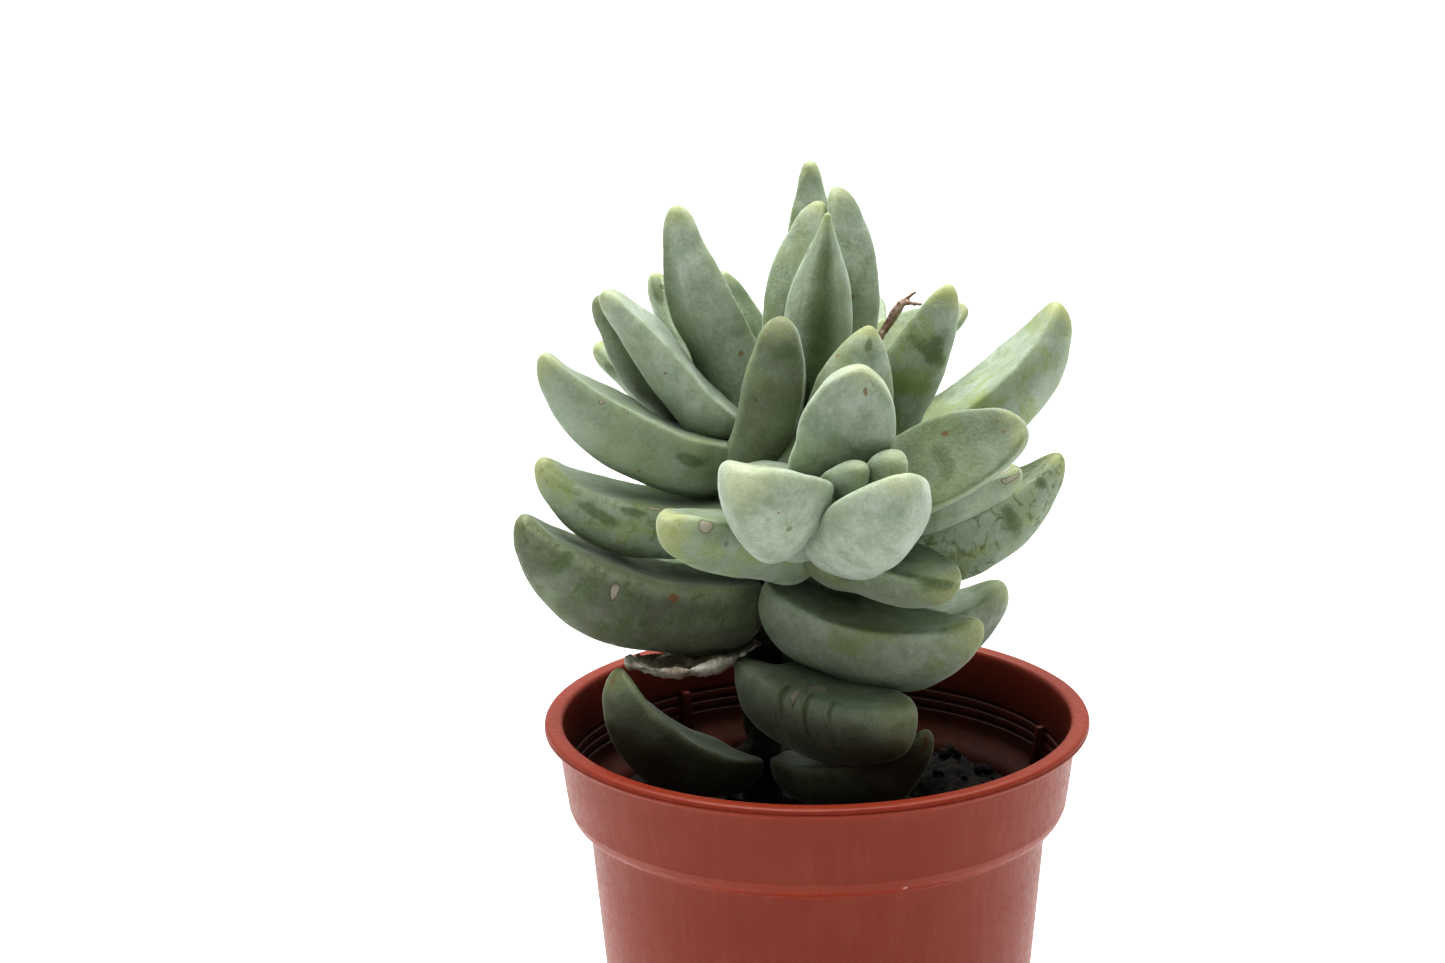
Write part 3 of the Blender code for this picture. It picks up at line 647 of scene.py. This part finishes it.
def leaf_marks(tree, colour, place):
    """Stained, scarred and rusty places with ragged outlines."""
    ragged = tree.times(tree.minus(tree.noise(place, 700.0, 5.0, 0.7), 0.5), 0.9)
    stained = tree.ramp(tree.plus(tree.attribute("stain"), ragged), 0.3, 0.95)
    colour = tree.blend(tree.times(stained, 0.8), colour, STAIN_OLIVE)
    rusty = tree.ramp(tree.plus(tree.attribute("rust"), ragged), 0.4, 0.7)
    colour = tree.blend(tree.times(rusty, 0.8), colour, RUST_BROWN)
    scarred = tree.plus(tree.attribute("scar"), ragged)
    crust = tree.ramp(scarred, 0.42, 0.62)
    rim = tree.minus(tree.ramp(scarred, 0.3, 0.5), crust, clamp=True)
    colour = tree.blend(tree.times(crust, 0.85), colour, SCAR_CORK)
    return tree.blend(tree.times(rim, 0.7), colour, SCAR_RIM), crust, rim


def make_leaf_material():
    """Waxy grey-green skin with a powdery bloom, a yellow-green tip, pale margins and its marks,
    with painted shade at the foot, along the keel and on the low leaves.
    """
    material, tree, shader = new_material("leaf_skin", (0.33, 0.4, 0.3), 0.55)
    place = tree.object_place()
    along = tree.attribute("along")
    middle = tree.noise(place, 420.0, 4.0, 0.6, 0.3)
    fine = tree.noise(place, 2600.0, 4.0, 0.65)
    broad, colour = leaf_flesh(tree, place, along, middle, fine)
    colour = leaf_lines(tree, colour, along)
    colour, crust, rim = leaf_marks(tree, colour, place)

    # A few corky dots, and dust.
    dots = tree.group(specks_group, Place=place, Scale=330.0, Share=0.06, Size=0.13)["Mask"]
    colour = tree.blend(tree.times(dots, 0.55), colour, CORKY_DOT)
    dust = tree.group(dust_group, Place=place, Scale=2600.0, Amount=0.16)["Mask"]
    tree.feed(shader.inputs["Base Color"], tree.blend(dust, colour, LEAF_DUST))

    rough = tree.ramp(middle, 0.3, 0.7, 0.5, 0.68)
    tree.feed(shader.inputs["Roughness"], tree.plus(rough, tree.times(crust, 0.2)))
    height = tree.plus(tree.times(middle, 0.6), tree.times(fine, 0.4))
    height = tree.plus(height, tree.times(crust, 0.5))
    height = tree.minus(height, tree.times(tree.plus(dots, rim), 0.35))
    swells = tree.bump(broad, 0.35, 0.0008)
    tree.feed(shader.inputs["Normal"], tree.bump(height, 0.7, 0.0003, swells))
    shader.inputs["Subsurface Weight"].default_value = 0.22
    shader.inputs["Subsurface Radius"].default_value = (0.8, 1.0, 0.45)
    shader.inputs["Subsurface Scale"].default_value = 0.0016
    shader.inputs["Sheen Weight"].default_value = 0.8
    shader.inputs["Sheen Roughness"].default_value = 0.3
    shader.inputs["Sheen Tint"].default_value = LEAF_SHEEN
    shader.inputs["Specular IOR Level"].default_value = 0.35
    return material


def inside_of_pot(tree, place):
    """Masks of the pot's upper inner wall, and of how deep in the pot a place is."""
    x, y, z = tree.split(place)
    square = tree.plus(tree.math("POWER", x, 2.0), tree.math("POWER", y, 2.0))
    reach = tree.math("POWER", square, 0.5)
    ledge = tree.line(z, 0.0398, 0.75, 0.0232)
    collar = tree.line(z, 0.0415, 0.13, 0.0247)
    wall = tree.math("MAXIMUM", tree.math("MINIMUM", ledge, collar), 0.02275)
    inside = tree.math("LESS_THAN", reach, wall)
    inside = tree.times(inside, tree.math("GREATER_THAN", z, 0.0365))
    uneven = tree.times(tree.noise(place, 160.0, 4.0, 0.6), 0.006)
    return inside, tree.ramp(tree.plus(z, uneven), 0.0535, 0.0465)


def make_pot_material():
    """Satin terracotta-coloured plastic with flow marks, dust and specks, and painted shade inside.
    """
    material, tree, shader = new_material("pot_plastic", (0.36, 0.085, 0.06), 0.42)
    place = tree.object_place()
    broad = tree.noise(place, 45.0, 3.0, 0.5)
    fine = tree.noise(place, 1500.0, 3.0, 0.6)
    colour = tree.blend(broad, PLASTIC_DARK, PLASTIC_LIGHT)

    # Fine upright streaks from wiping and moulding.
    tall = tree.node("ShaderNodeMapping")
    tree.feed(tall.inputs["Vector"], place)
    tall.inputs["Scale"].default_value = (900, 900, 60)
    streak = tree.ramp(tree.noise(tall.outputs[0], 1.0, 3.0, 0.6), 0.45, 0.75)
    colour = tree.blend(tree.times(streak, 0.1), colour, PLASTIC_STREAK)
    dust = tree.group(dust_group, Place=place, Scale=1900.0, Amount=0.07)["Mask"]
    colour = tree.blend(dust, colour, PLASTIC_DUST)
    pale = tree.group(specks_group, Place=place, Scale=260.0, Share=0.12, Size=0.09)["Mask"]
    colour = tree.blend(tree.times(pale, 0.5), colour, PALE_SPECK)
    dark = tree.group(specks_group, Place=place, Scale=150.0, Share=0.1, Size=0.06)["Mask"]
    colour = tree.blend(tree.times(dark, 0.7), colour, DARK_SPECK)

    # Painted shade on the inner wall near the soil.
    inside, depth = inside_of_pot(tree, place)
    patches = tree.ramp(tree.noise(place, 320.0, 5.0, 0.65), 0.3, 0.6, 0.62, 0.92)
    inner_wall_shade = tree.times(tree.times(inside, depth), patches)
    tree.feed(shader.inputs["Base Color"], tree.blend(inner_wall_shade, colour, INNER_WALL_SHADE))

    tree.feed(shader.inputs["Roughness"], tree.ramp(fine, 0.3, 0.7, 0.36, 0.48))
    height = tree.plus(tree.times(fine, 0.5), tree.times(pale, 0.6))
    tree.feed(shader.inputs["Normal"], tree.bump(height, 0.16, 0.0002))
    shader.inputs["Specular IOR Level"].default_value = 0.38
    shader.inputs["Subsurface Weight"].default_value = 0.08
    shader.inputs["Subsurface Radius"].default_value = (1.0, 0.3, 0.2)
    shader.inputs["Subsurface Scale"].default_value = 0.001
    return material


def make_earthy_material(name, dark, light, scale, roughness, depth):
    """Crumbly or scabby matter: two colours, mottled, with a rough surface."""
    material, tree, shader = new_material(name, dark, roughness)
    place = tree.object_place()
    pale = tuple(min(1, 1.6 * part) for part in light)
    mottle = tree.group(mottle_group, Place=place, Scale=scale, Dark=dark, Light=light, Pale=pale)
    rough = tree.ramp(mottle["Grain"], 0.3, 0.7, roughness - 0.12, roughness)
    tree.feed(shader.inputs["Base Color"], mottle["Colour"])
    tree.feed(shader.inputs["Roughness"], rough)
    tree.feed(shader.inputs["Normal"], tree.bump(mottle["Height"], 0.7, depth))
    return material


# --- leaves ---


def neighbours_of(mesh):
    near = [set() for _ in mesh.vertices]
    for edge in mesh.edges:
        first, second = edge.vertices
        near[first].add(second)
        near[second].add(first)
    return near


def rings_of(places, near, trunk):
    """The corners of each ring, from the foot, which is the end near the trunk, to the tip."""
    from_trunk = [np.linalg.norm(trunk - place, axis=1).min() for place in places]
    ends = [index for index, friends in enumerate(near) if len(friends) >= LEAF_SIDES]
    tip = max(ends, key=lambda index: from_trunk[index])
    foot = min(ends, key=lambda index: from_trunk[index])
    levels, seen = [[tip]], {tip, foot}
    while len(seen) < len(places):
        levels.append(sorted({friend for index in levels[-1] for friend in near[index]} - seen))
        seen.update(levels[-1])
    return [[foot], *levels[::-1][-LEAF_RINGS:]]


def walk_round(ring, near, places):
    """A ring's corners in order, or None where two of them have run together."""
    if len(ring) != LEAF_SIDES:
        return None
    order = [ring[0]]
    while len(order) < LEAF_SIDES:
        here = places[order[-1]]
        steps = [index for index in near[order[-1]] if index in ring and index not in order]
        if not steps:
            return None
        order.append(min(steps, key=lambda index: np.linalg.norm(places[index] - here)))
    return order


def orders_of(rings, near, places, spine, corner_of):
    """Each ring's corners in order, all turning the same way and starting in line, from the tip."""
    orders = {}
    for number in range(LEAF_RINGS - 1, 0, -1):
        ring = rings[number]
        order = walk_round(ring, near, places)
        if order:
            ahead = spine[number + 1] - spine[number - 1]
            spokes = places[order] - spine[number]
            if np.cross(spokes, np.roll(spokes, -1, axis=0)).sum(0).dot(ahead) < 0:
                order, spokes = order[::-1], spokes[::-1]
            if orders:
                before = places[orders[number + 1]] - spine[number + 1]
                turned_spokes = [np.roll(spokes, -turn, axis=0) for turn in range(LEAF_SIDES)]
                apart = [np.linalg.norm(before - each, axis=1).sum() for each in turned_spokes]
                turn = int(np.argmin(apart))
                order = order[turn:] + order[:turn]
        else:
            # Each corner takes the place of the nearest one in the ring before.
            before = places[orders[number + 1]] - spine[number + 1]
            before /= np.linalg.norm(before, axis=1)[:, None]
            spokes = places[ring] - spine[number]
            for index, spoke in zip(ring, spokes):
                corner_of[index] = int(np.argmax(before @ spoke))
            order = [ring[int(np.argmax(spokes @ direction))] for direction in before]
        orders[number] = order
    return orders


def first_corner(orders, places, spine):
    """Where each order has the margin that comes just before the flat upper side."""
    scores = np.zeros(LEAF_SIDES)
    ahead = spine[BODY_RINGS[-1]] - spine[BODY_RINGS[0]]
    for number in BODY_RINGS:
        for turn in range(LEAF_SIDES):
            corners = np.roll(places[orders[number]], -turn, axis=0)
            side = corners[0] - corners[MARGIN]
            up = np.cross(ahead, side)
            up /= np.linalg.norm(up) + 1e-12
            middle = (corners[0] + corners[MARGIN]) / 2
            upper = (corners[1:MARGIN] - middle) @ up
            lower = (corners[MARGIN + 1 :] - middle) @ up
            flatness = -lower.mean() - FLAT_SIDE_WEIGHT * abs(upper.mean())
            scores[turn] += flatness / np.linalg.norm(side)
    return int(np.argmax(scores))


def grid_of(mesh, trunk):
    """The ring and the corner of each vertex of a leaf's solid, its spine, and its whole rings."""
    places = coordinates(mesh)
    near = neighbours_of(mesh)
    rings = rings_of(places, near, trunk)
    spine = np.array([places[ring].mean(0) for ring in rings])
    ring_of = np.zeros(len(places), int)
    corner_of = np.zeros(len(places), int)
    for number, ring in enumerate(rings):
        ring_of[ring] = number
    orders = orders_of(rings, near, places, spine, corner_of)
    turn = first_corner(orders, places, spine)
    whole = set()
    for number, order in orders.items():
        if len(set(order)) == LEAF_SIDES:
            whole.add(number)
            for corner, index in enumerate(order):
                corner_of[index] = (corner - turn) % LEAF_SIDES
        else:
            for index in rings[number]:
                corner_of[index] = (corner_of[index] - turn) % LEAF_SIDES
    return ring_of, corner_of, spine, whole


def quads_only(piece, ring_of, corner_of, whole):
    """Takes out the diagonals, so that the grid's faces are quads."""
    work_on(piece)
    bpy.context.tool_settings.mesh_select_mode = (False, True, False)
    bpy.ops.object.mode_set(mode="EDIT")
    bpy.ops.mesh.select_all(action="DESELECT")
    bpy.ops.object.mode_set(mode="OBJECT")
    for edge in piece.data.edges:
        first, second = edge.vertices
        rings = {ring_of[first], ring_of[second]}
        slanted = len(rings) == 2 and corner_of[first] != corner_of[second]
        edge.select = rings <= whole and slanted
    bpy.ops.object.mode_set(mode="EDIT")
    bpy.ops.mesh.dissolve_edges(use_verts=False)
    bpy.ops.object.mode_set(mode="OBJECT")
    bpy.context.tool_settings.mesh_select_mode = (True, False, False)


def crease_lines(mesh, corner_of, ends, crease, keel):
    """Keeps the margins and the keel sharper when the leaf is smoothed."""
    edges = mesh.attributes.new("crease_edge", "FLOAT", "EDGE")
    for edge in mesh.edges:
        first, second = edge.vertices
        if ends[first] or ends[second] or corner_of[first] != corner_of[second]:
            continue
        if corner_of[first] == KEEL and keel:
            edges.data[edge.index].value = KEEL_CREASE * keel
        elif corner_of[first] % MARGIN == 0:
            edges.data[edge.index].value = crease


def smooth_leaf(piece):
    """Smooths a leaf, with its cage moved out until the smooth skin meets the solid's corners."""
    mesh = piece.data
    target = coordinates(mesh)
    smooth = piece.modifiers.new("smooth", "SUBSURF")
    smooth.levels = smooth.render_levels = FIT_LEVELS
    cage = target.copy()
    for _ in range(FIT_ROUNDS):
        bpy.context.view_layer.update()
        shown = piece.evaluated_get(bpy.context.evaluated_depsgraph_get())
        cage += FIT_SHARE * (target - coordinates(shown.data)[: len(target)])
        set_coordinates(mesh, cage)
    smooth.levels = smooth.render_levels = LEAF_LEVELS
    apply_modifiers(piece)


def ease(share):
    share = np.clip(share, 0, 1)
    return share * share * (3 - 2 * share)


def shape_leaf(mesh, spine_shares, spine, fullness, clasp, rounding):
    """Fills out the foot so that it clasps the stem, rounds the tip, and adds slow swells."""
    places = coordinates(mesh)
    along = values_of(mesh, "along")
    middle = np.stack([np.interp(along, spine_shares, line) for line in spine.T], axis=1)
    inward = spine[0] - spine[3]
    inward /= np.linalg.norm(inward)
    swell = 1 + clasp * FOOT_SWELL * ease(1 - along / SWELL_END)[:, None]
    reach = (clasp * FOOT_REACH * MM * ease(1 - along / REACH_END))[:, None]
    places = middle + (places - middle) * swell + inward * reach

    outer = spine[-1] - spine[-4]
    outer /= np.linalg.norm(outer)
    from_tip = np.clip((spine[-1] - places) @ outer / (TIP_LENGTH * MM), 0, 1)
    near_tip = np.where(along < TIP_START, 0, ease(1 - from_tip))
    places -= outer * (rounding * MM * near_tip)[:, None]
    set_coordinates(mesh, places)

    normals = np.array([vertex.normal for vertex in mesh.vertices])
    uneven = [
        sum(depth * noise.noise(Vector(place) * waves) for depth, waves in SWELLS)
        for place in places
    ]
    push = fullness + rounding * near_tip + np.array(uneven)
    set_coordinates(mesh, places + normals * (push * MM)[:, None])


def mark_leaf(mesh, length, girth, marks):
    """Paints a leaf's marks. Its length and its girth are in millimetres."""
    along = values_of(mesh, "along")
    turn = np.degrees(np.arctan2(values_of(mesh, "above"), values_of(mesh, "across")))
    waves = [noise.noise(Vector(place) * MARK_WAVES) for place in coordinates(mesh)]
    ragged = 1 + MARK_RAGGED * np.array(waves)
    painted = {kind: np.zeros(len(along)) for kind in MARK_GROWTH}
    for mark in marks:
        apart = (turn - mark.degrees + 180) % 360 - 180
        distance = np.hypot(
            (along - mark.place) * length / mark.half_length,
            np.radians(apart) * girth / mark.half_width,
        )
        depth = np.clip(MARK_CENTRE - distance * ragged / MARK_GROWTH[mark.kind], 0, 1)
        painted[mark.kind] = np.maximum(painted[mark.kind], depth)
    for kind, values in painted.items():
        point_attribute(mesh, kind, values)


def make_leaf(node, trunk, material):
    look = LEAF_LOOKS.get(node, Look())
    piece = copy_of_solid(node)
    mesh = piece.data
    ring_of, corner_of, spine, whole = grid_of(mesh, trunk)
    quads_only(piece, ring_of, corner_of, whole)
    girth = np.linalg.norm(coordinates(mesh)[ring_of == 5] - spine[5], axis=1).max()
    length = np.linalg.norm(np.diff(spine, axis=0), axis=1).sum()

    turns = math.tau * corner_of / LEAF_SIDES
    ends = (ring_of == 0) | (ring_of == LEAF_RINGS)
    spine_shares = (1 - np.cos(math.pi * np.arange(LEAF_RINGS + 1) / LEAF_RINGS)) / 2
    point_attribute(mesh, "along", spine_shares[ring_of])
    point_attribute(mesh, "across", np.where(ends, 0, np.cos(turns)))
    point_attribute(mesh, "above", np.where(ends, -0.3, np.sin(turns)))
    if look.crease or look.keel:
        crease_lines(mesh, corner_of, ends, look.crease, look.keel)
    smooth_leaf(piece)
    mesh = piece.data
    rounding = ROUNDINGS.get(node, TIP_ROUNDING)
    shape_leaf(mesh, spine_shares, spine, look.fullness, CLASP.get(node, 1.0), rounding)
    mark_leaf(mesh, length / MM, girth / MM, look.marks)
    amounts = {"tone": look.tone, "lime": look.lime, "streaks": look.streaks}
    for name, value in (*amounts.items(), ("keel_shade", look.keel)):
        point_attribute(mesh, name, np.full(len(mesh.vertices), value))
    dress(piece, material, "leaf", node)


# --- the pot ---


def turned(name, outline):
    """A closed wall turned round the upright axis: a ring drawn along its outline, then capped."""
    deselect()
    radius, height = outline[0]
    bpy.ops.mesh.primitive_circle_add(
        vertices=POT_STEPS, radius=radius * MM, location=(0, 0, height * MM)
    )
    piece = bpy.context.object
    piece.name = name
    place_in_mesh(piece)
    edit_all(piece)
    bpy.ops.mesh.edge_face_add()
    bpy.ops.mesh.select_all(action="SELECT")
    for next_radius, next_height in outline[1:]:
        rise = (0, 0, (next_height - height) * MM)
        bpy.ops.mesh.extrude_region_move(TRANSFORM_OT_translate={"value": rise})
        wider = next_radius / radius
        middle = (0, 0, next_height * MM)
        bpy.ops.transform.resize(value=(wider, wider, 1), center_override=middle)
        radius, height = next_radius, next_height
    bpy.ops.object.mode_set(mode="OBJECT")
    outward(piece)
    return piece


def pot_outline():
    """Radius and height in millimetres, up the inside, over the lip and down the outside."""
    floor = [(1.0, 0.9), (8.0, 0.9), (12.0, 0.9), (16.0, 0.9), (18.3, 1.0), (18.75, 1.3)]
    inner_wall = [(18.95, 1.9), (19.6, 8.0), (20.6, 18.0), (21.6, 28.5), (22.2, 35.0)]
    ledge = [(22.45, 38.0), (22.55, 39.0), (22.75, 39.6), (23.2, 40.1), (23.9, 40.8)]
    ledge += [(24.25, 41.3), (24.42, 41.7), (COLLAR_RADIUS, COLLAR_FOOT)]
    rings = []
    for height in RING_HEIGHTS:
        wall = COLLAR_RADIUS + COLLAR_SLOPE * (height - COLLAR_FOOT)
        rings += [(wall, height - 0.12), (wall + 0.16, height)]
        rings += [(wall + 0.17, height + 0.3), (wall + 0.06, height + 0.45)]
    inner_collar = [(24.95, 45.8), (25.3, 48.0), (25.5, 49.1), (25.6, 49.6), (25.72, 49.85)]
    lip = [(25.95, 49.97), (26.3, 50.0), (26.85, 50.0), (27.15, 49.95), (27.36, 49.82)]
    lip_groove = [(27.47, 49.62), (27.47, 49.52), (27.4, 49.46), (27.47, 49.4), (27.5, 49.3)]
    under_lip = [(27.46, 49.14), (27.34, 49.0), (27.1, 48.9), (26.75, 48.84), (26.45, 48.76)]
    collar = [(26.26, 48.6), (26.18, 48.3), (25.85, 46.0), (25.45, 43.0), (25.2, 41.45)]
    step = [(25.2, 41.3), (25.14, 41.18), (25.02, 40.85), (24.85, 40.45), (24.58, 40.1)]
    step += [(24.2, 39.84), (23.75, 39.68), (23.4, 39.55), (23.18, 39.35), (23.1, 39.0)]
    outer_wall = [(22.75, 35.0), (22.15, 28.5), (21.2, 18.5), (20.25, 9.0), (19.55, 1.6)]
    foot = [(19.42, 1.0), (19.2, 0.5), (18.8, 0.15), (18.3, 0.0), (17.6, 0.0), (17.3, 0.12)]
    underside = [(17.1, 0.35), (12.0, 0.4), (6.0, 0.4), (1.0, 0.4)]
    inside = floor + inner_wall + ledge + rings + inner_collar
    return inside + lip + lip_groove + under_lip + collar + step + outer_wall + foot + underside


def cut_drains(pot):
    """Cuts a ring of drain holes through the pot's floor."""
    drains = []
    for index in range(DRAINS):
        angle = math.tau * (index + 0.5) / DRAINS
        across, back = DRAIN_REACH * MM * math.cos(angle), DRAIN_REACH * MM * math.sin(angle)
        deselect()
        bpy.ops.mesh.primitive_cylinder_add(
            vertices=24, radius=DRAIN_RADIUS * MM, depth=6 * MM, location=(across, back, 0.5 * MM)
        )
        drains.append(bpy.context.object)
        place_in_mesh(drains[-1])
    for drain in drains:
        cut = pot.modifiers.new("drain", "BOOLEAN")
        cut.operation = "DIFFERENCE"
        cut.object = drain
    apply_modifiers(pot)
    for drain in drains:
        bpy.data.objects.remove(drain)


def make_pot(material):
    pot = turned("nursery_pot", pot_outline())
    cut_drains(pot)
    dress(pot, material, "pot", "pot")
    work_on(pot)
    bpy.ops.object.shade_smooth_by_angle(angle=math.radians(SMOOTH_UNDER))


def make_ribs(material):
    """Upright ribs inside the collar, which lean with its wall and keep stacked pots apart."""
    deselect()
    bpy.ops.mesh.primitive_cube_add(
        size=1,
        location=(RIB_REACH * MM, 0, RIB_HEIGHT * MM),
        scale=tuple(side * MM for side in RIB_SIZE),
    )
    rib = bpy.context.object
    place_in_mesh(rib)
    for vertex in rib.data.vertices:
        if vertex.co.z > RIB_TOP * MM:
            inner = vertex.co.x < RIB_REACH * MM
            vertex.co.x += (RIB_LEAN_IN if inner else RIB_LEAN_OUT) * MM
    rounding = rib.modifiers.new("rounding", "BEVEL")
    rounding.width = 0.2 * MM
    rounding.segments = 3
    apply_modifiers(rib)
    ribs = [rib] + [copy_of(rib) for _ in range(RIBS - 1)]
    for index, made in enumerate(ribs):
        made.rotation_euler.z = math.radians(RIB_START + 360 * index / RIBS)
    join(ribs)
    rib.name = "stacking_ribs"
    place_in_mesh(rib)
    dress(rib, material, "pot", "pot")


# --- the soil, the stem and the dried pieces ---


def roughen(piece, bumps, part=None):
    """Pushes a surface in and out with clouds: each is its strength and its size in millimetres."""
    for index, (strength, size) in enumerate(bumps):
        clouds = bpy.data.textures.new(f"{piece.name}_clouds_{index}", "CLOUDS")
        clouds.noise_scale = size * MM
        clouds.noise_depth = 3
        push = piece.modifiers.new(f"push_{index}", "DISPLACE")
        push.texture = clouds
        push.texture_coords = "LOCAL"
        push.strength = strength * MM
        if part:
            push.vertex_group = part
    apply_modifiers(piece)


def remesh(piece, size):
    grain = piece.modifiers.new("grain", "REMESH")
    grain.mode = "VOXEL"
    grain.voxel_size = size * MM
    apply_modifiers(piece)


def make_bed(material):
    bed = copy_of_solid("soil")
    remesh(bed, BED_GRAIN)
    top = bed.vertex_groups.new(name="top")
    for vertex in bed.data.vertices:
        x, y, z = vertex.co / MM
        upper = min(1, max(0, (z - SOIL_LEVEL + BED_DEPTH) / BED_FADE))
        clear = min(1, max(0, BED_REACH - math.hypot(x, y)))
        top.add([vertex.index], upper * clear, "REPLACE")
    roughen(bed, BED_BUMPS, "top")
    bed.name = "peat_bed"
    dress(bed, material, "soil", "soil")
    return bed


def make_crumbs(material, bed, draw):
    """Loose crumbs on the bed: a few shapes, each copied many times."""
    shapes = []
    for index in range(CRUMB_SHAPES):
        deselect()
        bpy.ops.mesh.primitive_ico_sphere_add(subdivisions=2, radius=MM, location=(0, 0, 0))
        shape = bpy.context.object
        apart = Vector((9.0 * index, 0, 0))
        for vertex in shape.data.vertices:
            vertex.co *= 0.75 + 0.7 * noise.noise(vertex.co * 1400 + apart)
        shapes.append(shape)
    bpy.context.view_layer.update()
    crumbs = []
    for index in range(CRUMBS):
        radius = CRUMB_REACH * math.sqrt(draw.random())
        angle = math.tau * draw.random()
        size = 0.25 + 0.75 * draw.random() ** 3
        above = Vector((radius * math.cos(angle), radius * math.sin(angle), 60)) * MM
        hit, place, _, _ = bed.ray_cast(above, Vector((0, 0, -1)))
        if not hit or place.z < (SOIL_LEVEL - CRUMB_LOWEST) * MM:
            continue
        crumb = copy_of(shapes[index % CRUMB_SHAPES])
        long = size * (0.7 + 0.8 * draw.random())
        wide = size * (0.7 + 0.5 * draw.random())
        high = size * (0.6 + 0.3 * draw.random())
        crumb.location = place + Vector((0, 0, 0.3 * size * MM))
        crumb.rotation_euler = [math.tau * draw.random() for _ in range(3)]
        crumb.scale = (long, wide, high)
        crumbs.append(crumb)
    for shape in shapes:
        bpy.data.objects.remove(shape)
    join(crumbs)
    crumbs[0].name = "peat_crumbs"
    place_in_mesh(crumbs[0])
    dress(crumbs[0], material, "soil", "soil")


def make_stem(material):
    stem = copy_of_solid("stem")
    remesh(stem, 0.3)
    roughen(stem, ((1.5, 2.2), (0.7, 0.7)))
    stem.name = "woody_stem"
    dress(stem, material, "stem", "stem")


def make_stalk(material):
    stalk = copy_of_solid("flower_stalk")
    remesh(stalk, 0.12)
    thin = stalk.modifiers.new("thin", "DISPLACE")
    thin.strength = -0.16 * MM
    thin.mid_level = 0.0
    roughen(stalk, ((0.35, 1.2), (0.25, 0.4)))
    stalk.name = "dry_flower_stalk"
    dress(stalk, material, "flower_stalk", "flower_stalk")


def make_withered_leaf(material):
    """The shrivelled leaf under the low left one."""
    leaf = copy_of_solid("withered_leaf")
    low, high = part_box("withered_leaf")
    middle = (Vector(low) + Vector(high)) / 2
    edit_all(leaf)
    bpy.ops.transform.resize(value=(1.08, 1.0, 1.3), center_override=middle)
    bpy.ops.object.mode_set(mode="OBJECT")
    remesh(leaf, 0.17)
    roughen(leaf, ((1.9, 3.4), (0.8, 1.4), (0.25, 0.5)))
    leaf.name = "papery_leaf"
    dress(leaf, material, "withered_leaf", "withered_leaf")


# --- camera, light and floor ---


def add_camera():
    camera = bpy.data.cameras.new("camera")
    camera.lens = CAMERA_LENS
    camera.sensor_width = 36
    holder = new_object("camera", camera)
    pitch, roll = math.radians(CAMERA_PITCH), CAMERA_ROLL
    right = Vector((1, 0, 0))
    ahead = Vector((0, math.cos(pitch), -math.sin(pitch)))
    up = right.cross(ahead)
    rolled_right = math.cos(roll) * right + math.sin(roll) * up
    rolled_up = math.cos(roll) * up - math.sin(roll) * right
    facing = Matrix((rolled_right, rolled_up, -ahead)).transposed().to_4x4()
    holder.matrix_world = Matrix.Translation(CAMERA_PLACE) @ facing
    bpy.context.scene.camera = holder


def add_world():
    """A bright studio: white overhead and behind, dimmer from the front."""
    world = bpy.data.worlds.new("studio")
    world.use_nodes = True
    bpy.context.scene.world = world
    tree = Tree(world.node_tree)
    background = world.node_tree.nodes["Background"]
    direction = tree.node("ShaderNodeTexCoord").outputs["Generated"]
    _, back, up = tree.split(direction)
    towards = tree.plus(tree.times(back, 0.75), tree.times(up, 0.65))
    tree.feed(background.inputs["Color"], STUDIO_WHITE)
    tree.feed(background.inputs["Strength"], tree.ramp(towards, -0.6, 0.7, 0.05, 0.55))


def add_area(name, place, aim, size, power, spread=180):
    light = bpy.data.lights.new(name, "AREA")
    light.spread = math.radians(spread)
    light.shape = "DISK"
    light.size = size
    light.energy = power
    holder = new_object(name, light)
    direction = Vector(aim) - Vector(place)
    holder.rotation_euler = direction.to_track_quat("-Z", "Y").to_euler()
    holder.location = place


def add_floor():
    deselect()
    bpy.ops.mesh.primitive_plane_add(size=8, location=(0, 0, 0))
    floor = bpy.context.object
    floor.name = "floor"
    material, _, shader = new_material("floor_paper", FLOOR_WHITE, 0.9)
    shader.inputs["Base Color"].default_value = (*FLOOR_WHITE, 1)
    shader.inputs["Specular IOR Level"].default_value = 0.1
    floor.data.materials.append(material)


# --- the whole plant ---


def main():
    bpy.context.scene.view_settings.view_transform = "Standard"
    bpy.context.scene.view_settings.look = "High Contrast"

    peat = make_earthy_material("peat", PEAT_DARK, PEAT_LIGHT, 500.0, 0.95, 0.0006)
    bark = make_earthy_material("bark", BARK_DARK, BARK_LIGHT, 420.0, 0.92, 0.0004)
    straw = make_earthy_material("dry_stalk", STRAW_DARK, STRAW_LIGHT, 600.0, 0.85, 0.0002)
    paper = make_earthy_material("papery_skin", PAPER_DARK, PAPER_LIGHT, 330.0, 0.8, 0.0003)
    plastic = make_pot_material()
    leaf_skin = make_leaf_material()

    trunk = coordinates(nodes["stem"].data)
    for node in sorted(nodes):
        if node != "withered_leaf" and ("leaf" in node or "bud" in node):
            make_leaf(node, trunk, leaf_skin)
    make_pot(plastic)
    make_ribs(plastic)
    make_crumbs(peat, make_bed(peat), random.Random(SEED))
    make_stem(bark)
    make_stalk(straw)
    make_withered_leaf(paper)

    add_floor()
    add_world()
    add_area("overhead", (0.0, 0.45, 0.95), (0.0, 0.4, 0.0), 1.1, 10)
    add_area("top", (-0.12, -0.1, 0.8), (0.0, 0.0, 0.08), 0.5, 0.36, 60)
    add_camera()


main()
